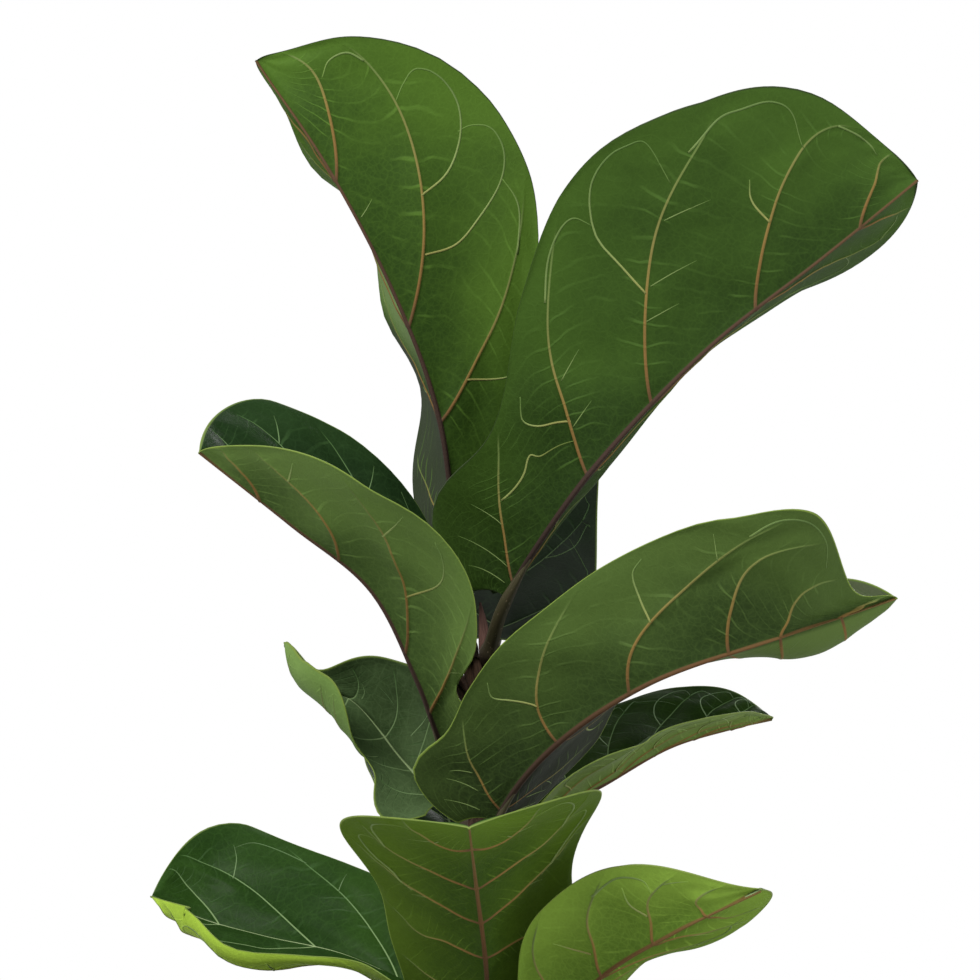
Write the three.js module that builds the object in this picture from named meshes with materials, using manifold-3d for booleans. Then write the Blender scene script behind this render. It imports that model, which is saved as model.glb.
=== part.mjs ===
// Potted fiddle leaf fig: one upright stem with broad lyre-shaped leaves, standing in a plain
// round nursery pot filled with potting soil.
// Millimetres, +Z up. The origin is the centre of the pot's underside.

import * as THREE from 'three';
import { mergeVertices } from 'three/addons/utils/BufferGeometryUtils.js';
import Module from 'manifold-3d';

const wasm = await Module();
wasm.setup();

// ---------------------------------------------------------------- driving dimensions

const GAP = 0.3;                        // clearance that keeps touching pieces apart

const POT = {
  height: 190, footRadius: 78, topRadius: 101, wall: 2.4, floor: 4, footEdge: 3,
  rimBand: 18, rimOut: 4, rimLip: 3, rimRound: 1, sides: 48,
  drainHoles: 6, drainRadius: 5, drainSides: 12, drainCircle: 52,
};
const SOIL = { top: 168, mound: 5, lumps: 1.4, lumpLength: 9, lumpWidth: 11, edge: 12, rings: 6 };

const TRUNK = {
  sides: 10, rings: 30, scar: 0.6, scarSpacing: 24, scarStart: 0.7, flare: 3.5, flareHeight: 22,
  axis: [[0, 0, 100], [2, -2, 220], [-3, 2, 360], [-2, 1, 500], [-2, 0, 627]],
  radii: [9.6, 9.2, 8.4, 7.4, 6.2],
};
const BUD = { sides: 8, rings: 7, radius: 2.7, belly: 0.35, bluntness: 0.02, seat: 0.4,
  axis: [[-1.4, -0.2, 0], [-1.8, -0.8, 14], [-3.5, -2, 28]] };

const BLADE = { thickness: 0.9, swell: 1.2, swellLean: 0.8, rib: 0.5, ribTaper: 1.2, midrib: 1.6,
  midribTaper: 1.1, advance: 0.2, advanceCurve: 1.3, lobe: 0.05, baseShare: 0.3, roundBase: 0.1,
  waveEnds: 6, tipReach: 0.03 };
const PETIOLE = { foot: 3.3, neck: 2.3, end: 0.8, reach: 22, drop: 1.2, sides: 6, rings: 8 };

// Stations along a blade, as a share of its length: the base, then turn about the swells between
// the side veins and the side veins themselves. The tip is a point of its own.
const STATIONS = [0, 0.05, 0.13, 0.22, 0.31, 0.4, 0.49, 0.58, 0.67, 0.76, 0.85, 0.93, 0.985];
const VEINS = [0.13, 0.31, 0.49, 0.67, 0.85];
const COLUMNS = [-1, -0.8, -0.5, -0.2, 0, 0.2, 0.5, 0.8, 1];
const CROSS_STEPS = 10;
const PLAIN_HALF = { curl: [0, 0], lip: [0, 0], apex: 0.72, wave: [2, 2.5, 0], tip: 0 };

// Each leaf has its midrib from the stem to the tip, the length of its petiole, and the
// directions that its upper face looks in, from base to tip. Each half has its widths at even
// steps along it, the angles in degrees that it is folded up by, curls through and rolls at its
// lip, the station where its apex starts to round, and its edge's wave: height, waves and phase.
// Where tip is given, that share of the width is drawn in just before the tip.
const LEAVES = {
  leaf_01: {
    midrib: [[-7, 5, 625], [-15, -4, 677], [-24, -16, 748], [-46, -26, 810], [-81, -34, 877],
      [-119, -31, 934]],
    petiole: 48, up: [[0.55, 0.8, 0.25]],
    left: { width: [52, 52, 66, 90, 88, 70], fold: [40, 36, 36, 42, 28], apex: 0.7,
      wave: [0.5, 2.5, 0], tip: 0.45 },
    right: { width: [56, 66, 74, 88, 84, 74], fold: [32, 42, 48, 54, 54, 48], apex: 0.74,
      wave: [8.5, 3, 0.3] },
  },
  leaf_02: {
    midrib: [[-1, -4, 625], [12, -38, 661], [52, -65, 719], [109, -80, 779], [167, -83, 825],
      [218, -72, 867]],
    petiole: 46, up: [[-0.47, 0.74, 0.47]],
    left: { width: [30, 42, 56, 88, 97, 102], fold: [44, 42, 46, 48, 46, 32],
      apex: 0.75, wave: [1.5, 2.5, 0] },
    right: { width: [76, 54, 84, 112, 102, 110], fold: [70, 36, 24], apex: 0.72,
      wave: [1.5, 2.5, 0.1], tip: 0.3 },
  },
  leaf_03: {
    midrib: [[1, 5, 624], [7, 35, 644], [11, 75, 680], [12, 110, 725], [11, 135, 770],
      [9, 145, 807]],
    petiole: 24, up: [[0, -0.8, 0.6]],
    left: { width: [46, 48, 48, 50, 50, 48], fold: [14, 20, 20] },
    right: { width: [50, 50, 50, 52, 52, 50], fold: [14, 20, 20] },
  },
  leaf_04: {
    midrib: [[-6, -3, 550], [-21, -27, 576], [-34.5, -48, 613], [-58, -69, 659.5], [-98, -87, 692],
      [-143, -106, 727]],
    petiole: 32, up: [[0.67, -0.12, 0.73]],
    left: { width: [34, 31, 21, 46, 58, 64, 68, 67, 64, 56, 44], fold: [44, 44, 42], apex: 0.7,
      wave: [2, 2.5, 0] },
    right: { width: [36, 42, 60, 72, 81, 81, 84], fold: [22, 32, 36, 32, 14], apex: 0.86,
      wave: [0.5, 2.5, 0] },
  },
  leaf_05: {
    midrib: [[-1, -6, 514], [8, -44, 549], [36, -84, 583], [82, -111, 613], [145, -116, 635],
      [205, -86, 655]],
    petiole: 42, up: [[-0.3, 0.65, 0.7], [-0.23, 0.6, 0.75], [0, 0.7, 0.6]],
    left: { width: [64, 60, 58, 64, 70, 70, 70, 68], fold: [30, 30, 38, 48, 56, 60, 58, 80],
      curl: [10, 10, 10, 20, 50, 115, 175, 200], apex: 0.93, wave: [0.5, 2.5, 0.1] },
    right: { width: [66, 46, 50, 56, 58, 62, 66, 70, 68, 14, 6], fold: [45, 45, 45, 40, 10, 30],
      curl: [0, 0, 5, 10, 10, 5], apex: 0.8, wave: [0.5, 2.5, 0] },
  },
  leaf_06: {
    midrib: [[-6, 4, 536], [-24, 38, 551], [-46, 71, 574], [-70, 87, 603], [-95, 93, 616],
      [-109, 94, 636]],
    petiole: 42, up: [[0, -0.95, 0.3]],
    left: { width: [42, 29, 49, 63, 58, 40], fold: [18, 46, 66, 78, 84, 90],
      curl: [0, 30, 70, 110, 115, 105], apex: 0.76, wave: [0.5, 2.5, 0.1] },
    right: { width: [44, 54, 50, 35, 12, 12], fold: [26, 34, 38, 56, 66], apex: 0.64,
      wave: [0.5, 2.5, 0] },
  },
  leaf_07: {
    midrib: [[0, 5, 522], [32, 35, 546], [61, 67, 560], [98, 95, 580], [132, 114, 590],
      [155, 122, 595]],
    petiole: 38, up: [[-0.3, 0, 0.95]],
    left: { width: [44, 46, 50, 54, 56, 56], fold: [36, 36, 34, 36], wave: [1, 2.5, 0] },
    right: { width: [44, 54, 52, 48, 40, 24], fold: [26, 18, 18, 12, 9, 9], wave: [0.5, 2.5, 0] },
  },
  leaf_08: {
    midrib: [[-4, 6, 492], [-12, 48, 516], [-22, 98, 545], [-28, 142, 566], [-30, 180, 576]],
    petiole: 36, up: [[0, -0.5, 0.87]],
    left: { width: [38, 38, 40, 42, 40], fold: [20, 20] },
    right: { width: [40, 42, 46, 50, 48], fold: [20, 20] },
  },
  leaf_09: {
    midrib: [[-8, 4, 424], [-30, 24, 449], [-74, 52, 470], [-119, 78, 479], [-154, 91, 488],
      [-180, 88, 500]],
    petiole: 34, up: [[0.3, -0.35, 0.88]],
    left: { width: [54, 40, 44, 60, 58, 70], fold: [16, 6, -14, 2, 0],
      lip: [40, 70, 95, 125, 145], apex: 0.8, wave: [2, 2.5, 0] },
    right: { width: [50, 50, 50, 56, 62, 64], fold: [40, 46, 36], apex: 0.82,
      wave: [0.5, 2.5, 0] },
  },
  leaf_10: {
    midrib: [[3, -5, 376], [18, -58, 402], [34, -112, 437], [54, -159, 469], [91, -195, 494],
      [129.5, -221, 514]],
    petiole: 50, up: [[-0.3, 0.62, 0.72]],
    left: { width: [44, 44, 48, 52, 50, 42], fold: [34, 34, 28, 20, 17, 19], apex: 0.74,
      wave: [0.5, 2.5, 0.05] },
    right: { width: [30, 34, 28, 45.5, 42, 6], fold: [22, 33, 34], apex: 0.79,
      wave: [0.5, 2.5, 0.35] },
  },
  leaf_11: {
    midrib: [[-2, -6, 388], [0, -59, 422], [0, -133, 469], [-5, -207, 516], [-8, -263, 544]],
    petiole: 48, up: [[0, 0.6, 0.8]],
    left: { width: [50, 48, 51, 54, 73, 84], fold: [22, 26, 36, 22], apex: 0.74,
      wave: [0.5, 2.5, 0] },
    right: { width: [54, 46, 54, 57, 71, 78], fold: [24, 28, 26, 14], apex: 0.73,
      wave: [1, 2.5, 0] },
  },
};

// The older leaves lower on the stem, arched outward: the height of the petiole's foot, its
// bearing about the stem in degrees, how far out the tip is, how high the arch rises, how far
// the tip droops below the arch's shoulder, and the blade's size.
const LOWER_LEAVES = [
  { foot: 368, bearing: 58, out: 230, rise: 48, droop: 20, size: 0.86 },
  { foot: 350, bearing: 200, out: 235, rise: 52, droop: 25, size: 0.88 },
  { foot: 332, bearing: 330, out: 240, rise: 50, droop: 25, size: 0.92 },
  { foot: 312, bearing: 112, out: 248, rise: 50, droop: 30, size: 0.95 },
  { foot: 292, bearing: 250, out: 250, rise: 48, droop: 30, size: 0.95 },
  { foot: 272, bearing: 25, out: 250, rise: 44, droop: 36, size: 1 },
  { foot: 250, bearing: 160, out: 250, rise: 40, droop: 40, size: 1 },
  { foot: 228, bearing: 300, out: 250, rise: 36, droop: 44, size: 1 },
];
const ARCH_OUT = [0, 0.2, 0.45, 0.7, 0.88, 1];
const ARCH_HEIGHT = [0, 0.5, 1, 0.95, 0.6, 0.6];
const LOWER_HALF_WIDTHS = [56, 54, 66, 88, 94, 88];
const LOWER_HALVES = {
  left: { fold: [26, 24, 20, 14], height: 3, waves: 2.5, phase: 0 },
  right: { fold: [22, 24, 22, 16], height: 3, waves: 2.2, phase: 0.4 },
};
const LOWER_PHASE_STEP = 0.3;
const LOWER_LEAN = 0.3;                 // how far the upper face turns back towards the stem
const LOWER_PETIOLE = 42;

const LOOKS = {
  pot: { color: 0x3b3d3e, roughness: 0.62, metalness: 0 },
  soil: { color: 0x33241a, roughness: 0.95, metalness: 0 },
  bark: { color: 0x6e5a42, roughness: 0.85, metalness: 0 },
  bud: { color: 0x8a5a44, roughness: 0.7, metalness: 0 },
  leaf: { color: 0x4f7a35, roughness: 0.42, metalness: 0 },
};

// ---------------------------------------------------------------- small helpers

const vec = (p) => new THREE.Vector3(...p);
const radians = THREE.MathUtils.degToRad;

// A smooth curve through evenly spaced values, read at t from 0 to 1.
function profile(values, t) {
  const last = values.length - 1;
  if (last === 0) return values[0];
  const x = THREE.MathUtils.clamp(t, 0, 1) * last;
  const i = Math.min(Math.floor(x), last - 1);
  const f = x - i;
  const b = values[i];
  const c = values[i + 1];
  const a = i > 0 ? values[i - 1] : 2 * b - c;
  const d = i + 2 <= last ? values[i + 2] : 2 * c - b;
  return 0.5 * (2 * b + (c - a) * f + (2 * a - 5 * b + 4 * c - d) * f ** 2
    + (3 * b - a - 3 * c + d) * f ** 3);
}

const profileVector = (list, t) => new THREE.Vector3(...[0, 1, 2].map(
  (k) => profile(list.map((p) => p[k]), t)));

function geometryFrom(positions, triangles) {
  const geometry = new THREE.BufferGeometry();
  geometry.setAttribute('position', new THREE.Float32BufferAttribute(positions, 3));
  geometry.setIndex(triangles);
  return geometry;
}

// A closed body from rings of the same number of points, each ring counterclockwise as seen
// from the end that it is walked towards.
function loft(rings) {
  const n = rings[0].length;
  const positions = rings.flat().flatMap((p) => [p.x, p.y, p.z]);
  const triangles = [];
  for (let i = 0; i + 1 < rings.length; i += 1) {
    for (let j = 0; j < n; j += 1) {
      const a = i * n + j;
      const b = i * n + ((j + 1) % n);
      triangles.push(a, b, b + n, a, b + n, a + n);
    }
  }
  for (const [ring, from, to] of [[0, 1, 0], [rings.length - 1, 0, 1]]) {
    for (let j = 1; j + 1 < n; j += 1) {
      const pair = [ring * n + j + from, ring * n + j + to];
      triangles.push(ring * n, ...pair);
    }
  }
  return geometryFrom(positions, triangles);
}

// A round tube of changing radius along a curve.
function taperedTube(curve, radiusAt, sides, rings, from = 0, to = 1) {
  const start = curve.getTangentAt(0);
  const across = Math.abs(start.z) > 0.9 ? new THREE.Vector3(1, 0, 0) : new THREE.Vector3(0, 0, 1);
  const side = new THREE.Vector3();
  const lift = new THREE.Vector3();
  return loft(Array.from({ length: rings }, (_, i) => {
    const t = THREE.MathUtils.lerp(from, to, i / (rings - 1));
    const tangent = curve.getTangentAt(THREE.MathUtils.clamp(t, 0, 1));
    const centre = curve.getPointAt(THREE.MathUtils.clamp(t, 0, 1));
    side.crossVectors(across, tangent).normalize();
    lift.crossVectors(tangent, side);
    return Array.from({ length: sides }, (__, j) => {
      const turn = (2 * Math.PI * j) / sides;
      return centre.clone()
        .addScaledVector(side, radiusAt(t) * Math.cos(turn))
        .addScaledVector(lift, radiusAt(t) * Math.sin(turn));
    });
  }));
}

function solid(geometry) {
  const bare = geometry.clone();
  bare.deleteAttribute('normal');
  bare.deleteAttribute('uv');
  const merged = mergeVertices(bare, 1e-4);
  return new wasm.Manifold(new wasm.Mesh({
    numProp: 3,
    vertProperties: new Float32Array(merged.attributes.position.array),
    triVerts: new Uint32Array(merged.index.array),
  }));
}

function geometryOf(body) {
  const mesh = body.getMesh();
  return geometryFrom(Array.from(mesh.vertProperties), Array.from(mesh.triVerts));
}

function piece(name, geometry, look) {
  const mesh = new THREE.Mesh(geometry, new THREE.MeshStandardMaterial(look));
  mesh.name = name;
  return mesh;
}

// ---------------------------------------------------------------- pot and soil

const outerRadius = (z) => THREE.MathUtils.lerp(POT.footRadius, POT.topRadius, z / POT.height);
const innerRadius = (z) => outerRadius(z) - POT.wall;

function potBody() {
  const bandFoot = POT.height - POT.rimBand;
  const bandRadius = outerRadius(bandFoot) + POT.rimOut;
  const section = [
    [0, 0],
    [POT.footRadius - POT.footEdge, 0],
    [outerRadius(POT.footEdge), POT.footEdge],
    [outerRadius(bandFoot - POT.rimOut), bandFoot - POT.rimOut],
    [bandRadius, bandFoot],
    [bandRadius + POT.rimRound, POT.height - POT.rimLip],
    [bandRadius, POT.height - POT.rimRound],
    [bandRadius - 2 * POT.rimRound, POT.height],
    [innerRadius(POT.height) + POT.rimRound, POT.height],
    [innerRadius(POT.height), POT.height - POT.rimRound],
    [innerRadius(POT.floor), POT.floor],
    [0, POT.floor],
  ];
  const points = section.map(([r, z]) => new THREE.Vector2(r, z));
  const shell = new THREE.LatheGeometry(points, POT.sides).rotateX(Math.PI / 2);
  let body = solid(shell);
  for (let i = 0; i < POT.drainHoles; i += 1) {
    const turn = (2 * Math.PI * i) / POT.drainHoles;
    const radius = POT.drainRadius;
    const drill = new THREE.CylinderGeometry(radius, radius, 4 * POT.floor, POT.drainSides)
      .rotateX(Math.PI / 2)
      .translate(POT.drainCircle * Math.cos(turn), POT.drainCircle * Math.sin(turn), 0);
    body = body.subtract(solid(drill));
  }
  return body;
}

function soilBody(trunkRoom) {
  const bottom = POT.floor + GAP;
  const rim = innerRadius(SOIL.top) - GAP;
  const section = [[0, bottom], [innerRadius(bottom) - GAP, bottom], [rim, SOIL.top]];
  for (let i = 1; i <= SOIL.rings; i += 1) {
    const share = 1 - i / SOIL.rings;
    section.push([rim * share, SOIL.top + SOIL.mound * (1 - share ** 2)]);
  }
  const points = section.map(([r, z]) => new THREE.Vector2(r, z));
  const plug = new THREE.LatheGeometry(points, POT.sides).rotateX(Math.PI / 2);
  const place = plug.attributes.position;
  for (let i = 0; i < place.count; i += 1) {
    const r = Math.hypot(place.getX(i), place.getY(i));
    const inside = THREE.MathUtils.clamp((rim - r) / SOIL.edge, 0, 1);
    const lump = Math.sin(place.getX(i) / SOIL.lumpLength)
      * Math.cos(place.getY(i) / SOIL.lumpWidth + 1);
    if (place.getZ(i) > SOIL.top - 1) place.setZ(i, place.getZ(i) + SOIL.lumps * inside * lump);
  }
  return solid(plug).subtract(trunkRoom);
}

// ---------------------------------------------------------------- stem and bud

const trunkCurve = new THREE.CatmullRomCurve3(TRUNK.axis.map(vec), false, 'catmullrom', 0.5);
const trunkLength = trunkCurve.getLength();

function trunkRadius(t) {
  const up = t * trunkLength;
  const aboveSoil = up - (SOIL.top - TRUNK.axis[0][2]);
  const flare = TRUNK.flare * Math.exp(-((aboveSoil / TRUNK.flareHeight) ** 2));
  const turn = (2 * Math.PI * up) / TRUNK.scarSpacing;
  const ring = Math.cos(turn) > TRUNK.scarStart ? TRUNK.scar : 0;
  return profile(TRUNK.radii, t) + flare + ring;
}

function trunkTube(extra) {
  return solid(taperedTube(trunkCurve, (t) => trunkRadius(t) + extra, TRUNK.sides, TRUNK.rings));
}

// The room that the stem takes: a little wider than it all round, and longer at both ends.
function trunkRoomBody() {
  const room = trunkTube(GAP);
  return room.add(room.translate([0, 0, GAP])).add(room.translate([0, 0, -GAP]));
}

function budBody() {
  const top = TRUNK.axis[TRUNK.axis.length - 1][2] + BUD.seat;
  const curve = new THREE.CatmullRomCurve3(
    BUD.axis.map(([x, y, z]) => new THREE.Vector3(x, y, top + z)), false, 'catmullrom', 0.5);
  const radius = (t) => BUD.radius * Math.sqrt(1 + BUD.bluntness - t)
    * (1 + BUD.belly * Math.sin(Math.PI * t));
  return solid(taperedTube(curve, radius, BUD.sides, BUD.rings));
}

// ---------------------------------------------------------------- leaves

function lowerLeaf(leaf, index) {
  const bearing = radians(leaf.bearing);
  const out = [Math.cos(bearing), Math.sin(bearing)];
  const last = ARCH_OUT.length - 1;
  const midrib = ARCH_OUT.map((share, i) => [
    out[0] * leaf.out * share,
    out[1] * leaf.out * share,
    leaf.foot + leaf.rise * ARCH_HEIGHT[i] - (i === last ? leaf.droop : 0),
  ]);
  const width = LOWER_HALF_WIDTHS.map((w) => w * leaf.size);
  const half = ({ fold, height, waves, phase }) => ({
    width, fold, wave: [height, waves, LOWER_PHASE_STEP * index + phase] });
  return {
    midrib,
    petiole: LOWER_PETIOLE,
    up: [[-LOWER_LEAN * out[0], -LOWER_LEAN * out[1], 1]],
    left: half(LOWER_HALVES.left),
    right: half(LOWER_HALVES.right),
  };
}

// How far a station has moved towards the tip at a share v of the half's width: the rows run
// forward as the side veins do, and the base bulges back into a lobe.
function stationAt(row, v) {
  const forward = BLADE.advance * 4 * row * (1 - row) * v ** BLADE.advanceCurve;
  return row + forward - BLADE.lobe * (1 - row) ** 6 * v ** 2;
}

function halfWidth(half, row) {
  const station = stationAt(row, 1);
  const beyond = THREE.MathUtils.clamp((station - half.apex) / (1 - half.apex), 0, 1);
  const short = 1 - THREE.MathUtils.clamp(row / BLADE.roundBase, 0, 1);
  const base = THREE.MathUtils.lerp(BLADE.baseShare, 1, Math.sqrt(1 - short ** 2));
  const drawnIn = 1 - half.tip * Math.exp(-(((1 - station) / BLADE.tipReach) ** 2));
  return profile(half.width, station) * Math.sqrt(1 - beyond ** 2) * base * drawnIn;
}

function crossSection(half, station, v) {
  const [fold, curl, lip] = ['fold', 'curl', 'lip'].map((k) => radians(profile(half[k], station)));
  const point = { out: 0, up: 0 };
  for (let k = 0; k < CROSS_STEPS; k += 1) {
    const q = (v * (k + 0.5)) / CROSS_STEPS;
    const angle = fold + curl * (q - 0.5) + lip * q ** 4;
    point.out += (v * Math.cos(angle)) / CROSS_STEPS;
    point.up += (v * Math.sin(angle)) / CROSS_STEPS;
  }
  return point;
}

function bladePoint(leaf, curve, row, v) {
  const share = Math.abs(v);
  const half = { ...PLAIN_HALF, ...(v < 0 ? leaf.left : leaf.right) };
  const station = stationAt(row, share);
  const start = leaf.petiole / curve.getLength();
  const along = THREE.MathUtils.lerp(start, 1, station);
  const centre = curve.getPointAt(along);
  const tangent = curve.getTangentAt(along);
  const up = profileVector(leaf.up, station);
  up.addScaledVector(tangent, -up.dot(tangent)).normalize();
  const side = new THREE.Vector3().crossVectors(tangent, up);
  const width = halfWidth(half, row);
  const section = crossSection(half, station, share);
  const [height, waves, phase] = half.wave;
  const ends = Math.min(1, BLADE.waveEnds * row * (1 - row));
  const wave = height * share ** 2 * ends * Math.sin(2 * Math.PI * (waves * station + phase));
  return centre
    .addScaledVector(side, Math.sign(v) * section.out * width)
    .addScaledVector(up, section.up * width + wave);
}

// How far the blade's middle surface swells upward: full between the side veins, none on them.
function swellAt(row, v) {
  const onVein = VEINS.includes(row) || row === 0 || row === STATIONS[STATIONS.length - 1];
  return onVein ? 0 : BLADE.swell * Math.sin(Math.PI * Math.abs(v) ** BLADE.swellLean);
}

// How far the midrib and the side veins stand out below.
function ribAt(row, v) {
  const share = Math.abs(v);
  if (share === 0) return BLADE.midrib * (BLADE.midribTaper - row);
  return VEINS.includes(row) && share < 1 ? BLADE.rib * (BLADE.ribTaper - share) : 0;
}

function bladeBody(leaf, curve) {
  const rows = STATIONS.map((row) => COLUMNS.map((v) => bladePoint(leaf, curve, row, v)));
  const tip = bladePoint(leaf, curve, 1, 0);
  const across = COLUMNS.length;
  const down = STATIONS.length;
  const faceUp = (i, j) => {
    const [before, after] = [rows[Math.max(i - 1, 0)], rows[Math.min(i + 1, down - 1)]];
    const [left, right] = [rows[i][Math.max(j - 1, 0)], rows[i][Math.min(j + 1, across - 1)]];
    const along = after[j].clone().sub(before[j]);
    return right.clone().sub(left).cross(along).normalize();
  };
  const upper = [];
  const lower = [];
  STATIONS.forEach((row, i) => COLUMNS.forEach((v, j) => {
    const normal = faceUp(i, j);
    const swell = swellAt(row, v);
    const top = rows[i][j].clone().addScaledVector(normal, swell + BLADE.thickness / 2);
    const under = rows[i][j].clone()
      .addScaledVector(normal, swell - BLADE.thickness / 2 - ribAt(row, v));
    upper.push(top.x, top.y, top.z);
    lower.push(under.x, under.y, under.z);
  }));
  const tipNormal = faceUp(down - 1, (across - 1) / 2);
  upper.push(...tip.clone().addScaledVector(tipNormal, BLADE.thickness / 2).toArray());
  lower.push(...tip.clone().addScaledVector(tipNormal, -BLADE.thickness / 2).toArray());
  const positions = [...upper, ...lower];
  const tipPlace = across * down;
  const count = tipPlace + 1;
  const triangles = [];
  const face = (a, b, c) => triangles.push(a, b, c, a + count, c + count, b + count);
  const wall = (a, b) => triangles.push(a, a + count, b + count, a, b + count, b);
  for (let i = 0; i + 1 < down; i += 1) {
    for (let j = 0; j + 1 < across; j += 1) {
      const a = i * across + j;
      if (COLUMNS[j] < 0) {
        face(a, a + 1, a + across);
        face(a + 1, a + across + 1, a + across);
      } else {
        face(a, a + 1, a + across + 1);
        face(a, a + across + 1, a + across);
      }
    }
    wall((i + 1) * across, i * across);
    wall(i * across + across - 1, (i + 1) * across + across - 1);
  }
  for (let j = 0; j + 1 < across; j += 1) {
    const a = (down - 1) * across + j;
    face(a, a + 1, tipPlace);
    wall(j, j + 1);
  }
  wall(tipPlace, (down - 1) * across);
  wall(down * across - 1, tipPlace);
  return solid(geometryFrom(positions, triangles));
}

function petioleBody(leaf, curve) {
  const length = curve.getLength();
  const end = (leaf.petiole + PETIOLE.reach) / length;
  const neck = leaf.petiole / length;
  const radius = (t) => (t < neck
    ? THREE.MathUtils.lerp(PETIOLE.foot, PETIOLE.neck, (t / neck) ** 0.5)
    : THREE.MathUtils.lerp(PETIOLE.neck, PETIOLE.end, (t - neck) / (end - neck)));
  const up = profileVector(leaf.up, 0).normalize();
  const drop = up.multiplyScalar(-PETIOLE.drop);
  return solid(taperedTube(curve, radius, PETIOLE.sides, PETIOLE.rings, 0, end)
    .translate(drop.x, drop.y, drop.z));
}

function leafBody(leaf, trunkRoom) {
  const curve = new THREE.CatmullRomCurve3(leaf.midrib.map(vec), false, 'catmullrom', 0.5);
  return bladeBody(leaf, curve).add(petioleBody(leaf, curve)).subtract(trunkRoom);
}

// ---------------------------------------------------------------- the plant in its pot

const trunkRoom = trunkRoomBody();
const plant = new THREE.Group();
plant.add(
  piece('pot', geometryOf(potBody()), LOOKS.pot),
  piece('soil', geometryOf(soilBody(trunkRoom)), LOOKS.soil),
  piece('trunk', geometryOf(trunkTube(0)), LOOKS.bark),
  piece('bud', geometryOf(budBody()), LOOKS.bud),
);
const leaves = { ...LEAVES };
LOWER_LEAVES.forEach((leaf, i) => {
  leaves[`leaf_${12 + i}`] = lowerLeaf(leaf, i);
});
for (const [name, leaf] of Object.entries(leaves)) {
  plant.add(piece(name, geometryOf(leafBody(leaf, trunkRoom)), LOOKS.leaf));
}

export default plant;
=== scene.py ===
"""Potted fiddle leaf fig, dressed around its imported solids. Lengths are in millimetres until
a mesh is made; angles in the tables are in degrees."""
import itertools
import math

import bpy
import numpy as np
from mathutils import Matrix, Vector


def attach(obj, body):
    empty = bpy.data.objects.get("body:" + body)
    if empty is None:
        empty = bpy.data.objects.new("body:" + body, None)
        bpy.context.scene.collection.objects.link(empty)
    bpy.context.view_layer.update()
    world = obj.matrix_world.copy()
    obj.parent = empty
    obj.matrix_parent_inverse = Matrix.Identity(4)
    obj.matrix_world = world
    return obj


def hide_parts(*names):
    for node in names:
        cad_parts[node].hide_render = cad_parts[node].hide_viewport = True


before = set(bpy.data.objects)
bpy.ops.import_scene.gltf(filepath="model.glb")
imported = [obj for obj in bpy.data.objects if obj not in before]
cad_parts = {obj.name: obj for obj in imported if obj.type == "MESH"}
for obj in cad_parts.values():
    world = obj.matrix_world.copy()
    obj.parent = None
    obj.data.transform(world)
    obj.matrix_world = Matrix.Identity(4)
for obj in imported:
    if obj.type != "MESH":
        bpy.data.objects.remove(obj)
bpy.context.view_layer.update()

MM = 0.001
CM = 10  # the maps of a mesh hold lengths in centimetres

# -------------------- dimensions

POT = {"height": 190, "foot_radius": 78, "top_radius": 101, "wall": 2.4, "floor": 4}
SOIL = {"top": 168, "mound": 5, "lumps": 1.4, "gap": 0.3, "level_rim": 12, "rings": 70,
        "sectors": 220, "clods": [(1.1, 7), (0.9, 3.1), (0.5, 1.4)]}

TRUNK_AXIS = [[0, 0, 100], [2, -2, 220], [-3, 2, 360], [-2, 1, 500], [-2, 0, 627]]
TRUNK_RADII = [9.6, 9.2, 8.4, 7.4, 6.2]
TRUNK = {"foot": 100, "buried": 12, "flare": 3.5, "flare_height": 22, "scar": 0.7,
         "scar_half_width": 1.3, "scar_tilt": 1.3, "old_scars": (186, 226, 11), "cork": 0.28,
         "grain": 0.13, "top_share": 0.55, "rings": 380, "sides": 60}

BUD_AXIS = [[-1.4, -0.2, 627], [-1.8, -0.8, 641], [-3.5, -2, 655.4]]
BUD = {"radius": 2.7, "belly": 0.35, "wound": 0.7, "step": 0.1, "ridges": 0.015, "rings": 60,
       "sides": 40}
CRUMB = {"long": (0.7, 1.5), "wide": (0.6, 1.0), "jagged": (0.75, 1.2), "tilt": 0.25,
         "lift": 0.35, "clear_of_stem": 14, "clear_of_rim": 6}
STIPULE = {"rows": 22, "columns": 17, "half_thick": 0.22, "off_stem": 0.5, "torn": 0.12}

BLADE = {"thickness": 0.7, "swell": 2.3, "swell_lean": 0.8, "advance": 0.2, "advance_curve": 1.3,
         "lobe": 0.05, "base_share": 0.3, "round_base": 0.1, "wave_ends": 6, "tip_reach": 0.03,
         "bead": 0.5, "still_edge": 6, "still_rib": 8}
# The blade's small flutter: the size of a bump, its height, and a shift of the noise.
FLUTTER = [(28, 1.1, 40), (9, 0.16, 0)]
# The pairs are the size where a rib or a branch starts and where it ends.
MIDRIB = {"half_width": (1.9, 0.7), "height": (1.8, 0.5)}
SIDE_VEIN = {"half_width": (1.5, 0.6), "height": (1.1, 0.12)}
PETIOLE = {"foot": 3.3, "neck": 2.3, "end": 0.8, "reach": 26, "drop": 1.2, "collar": 1.3,
           "collar_at": 7, "collar_reach": 5, "groove": 0.14, "ridges": 0.03, "rings": 50,
           "sides": 24}
# The faint cross rungs: how much of a half width each takes, their slant, how far they wander,
# and how they are shifted from one gap between veins, and from one side, to the next.
RUNG = {"spacing": 7, "slant": 0.05, "bend": 1.6, "shift": 0.37, "side_shift": 0.2}
BRANCH = {"half_width": (0.62, 0.3), "height": (0.34, 0.1), "rung_share": 0.8,
          "rung_slim": 0.5, "top_slim": 0.6, "sides": 6, "steps": 7}
CROSS_STEPS = 10
LINE_STEPS = 600
LATTICE = 64

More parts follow.
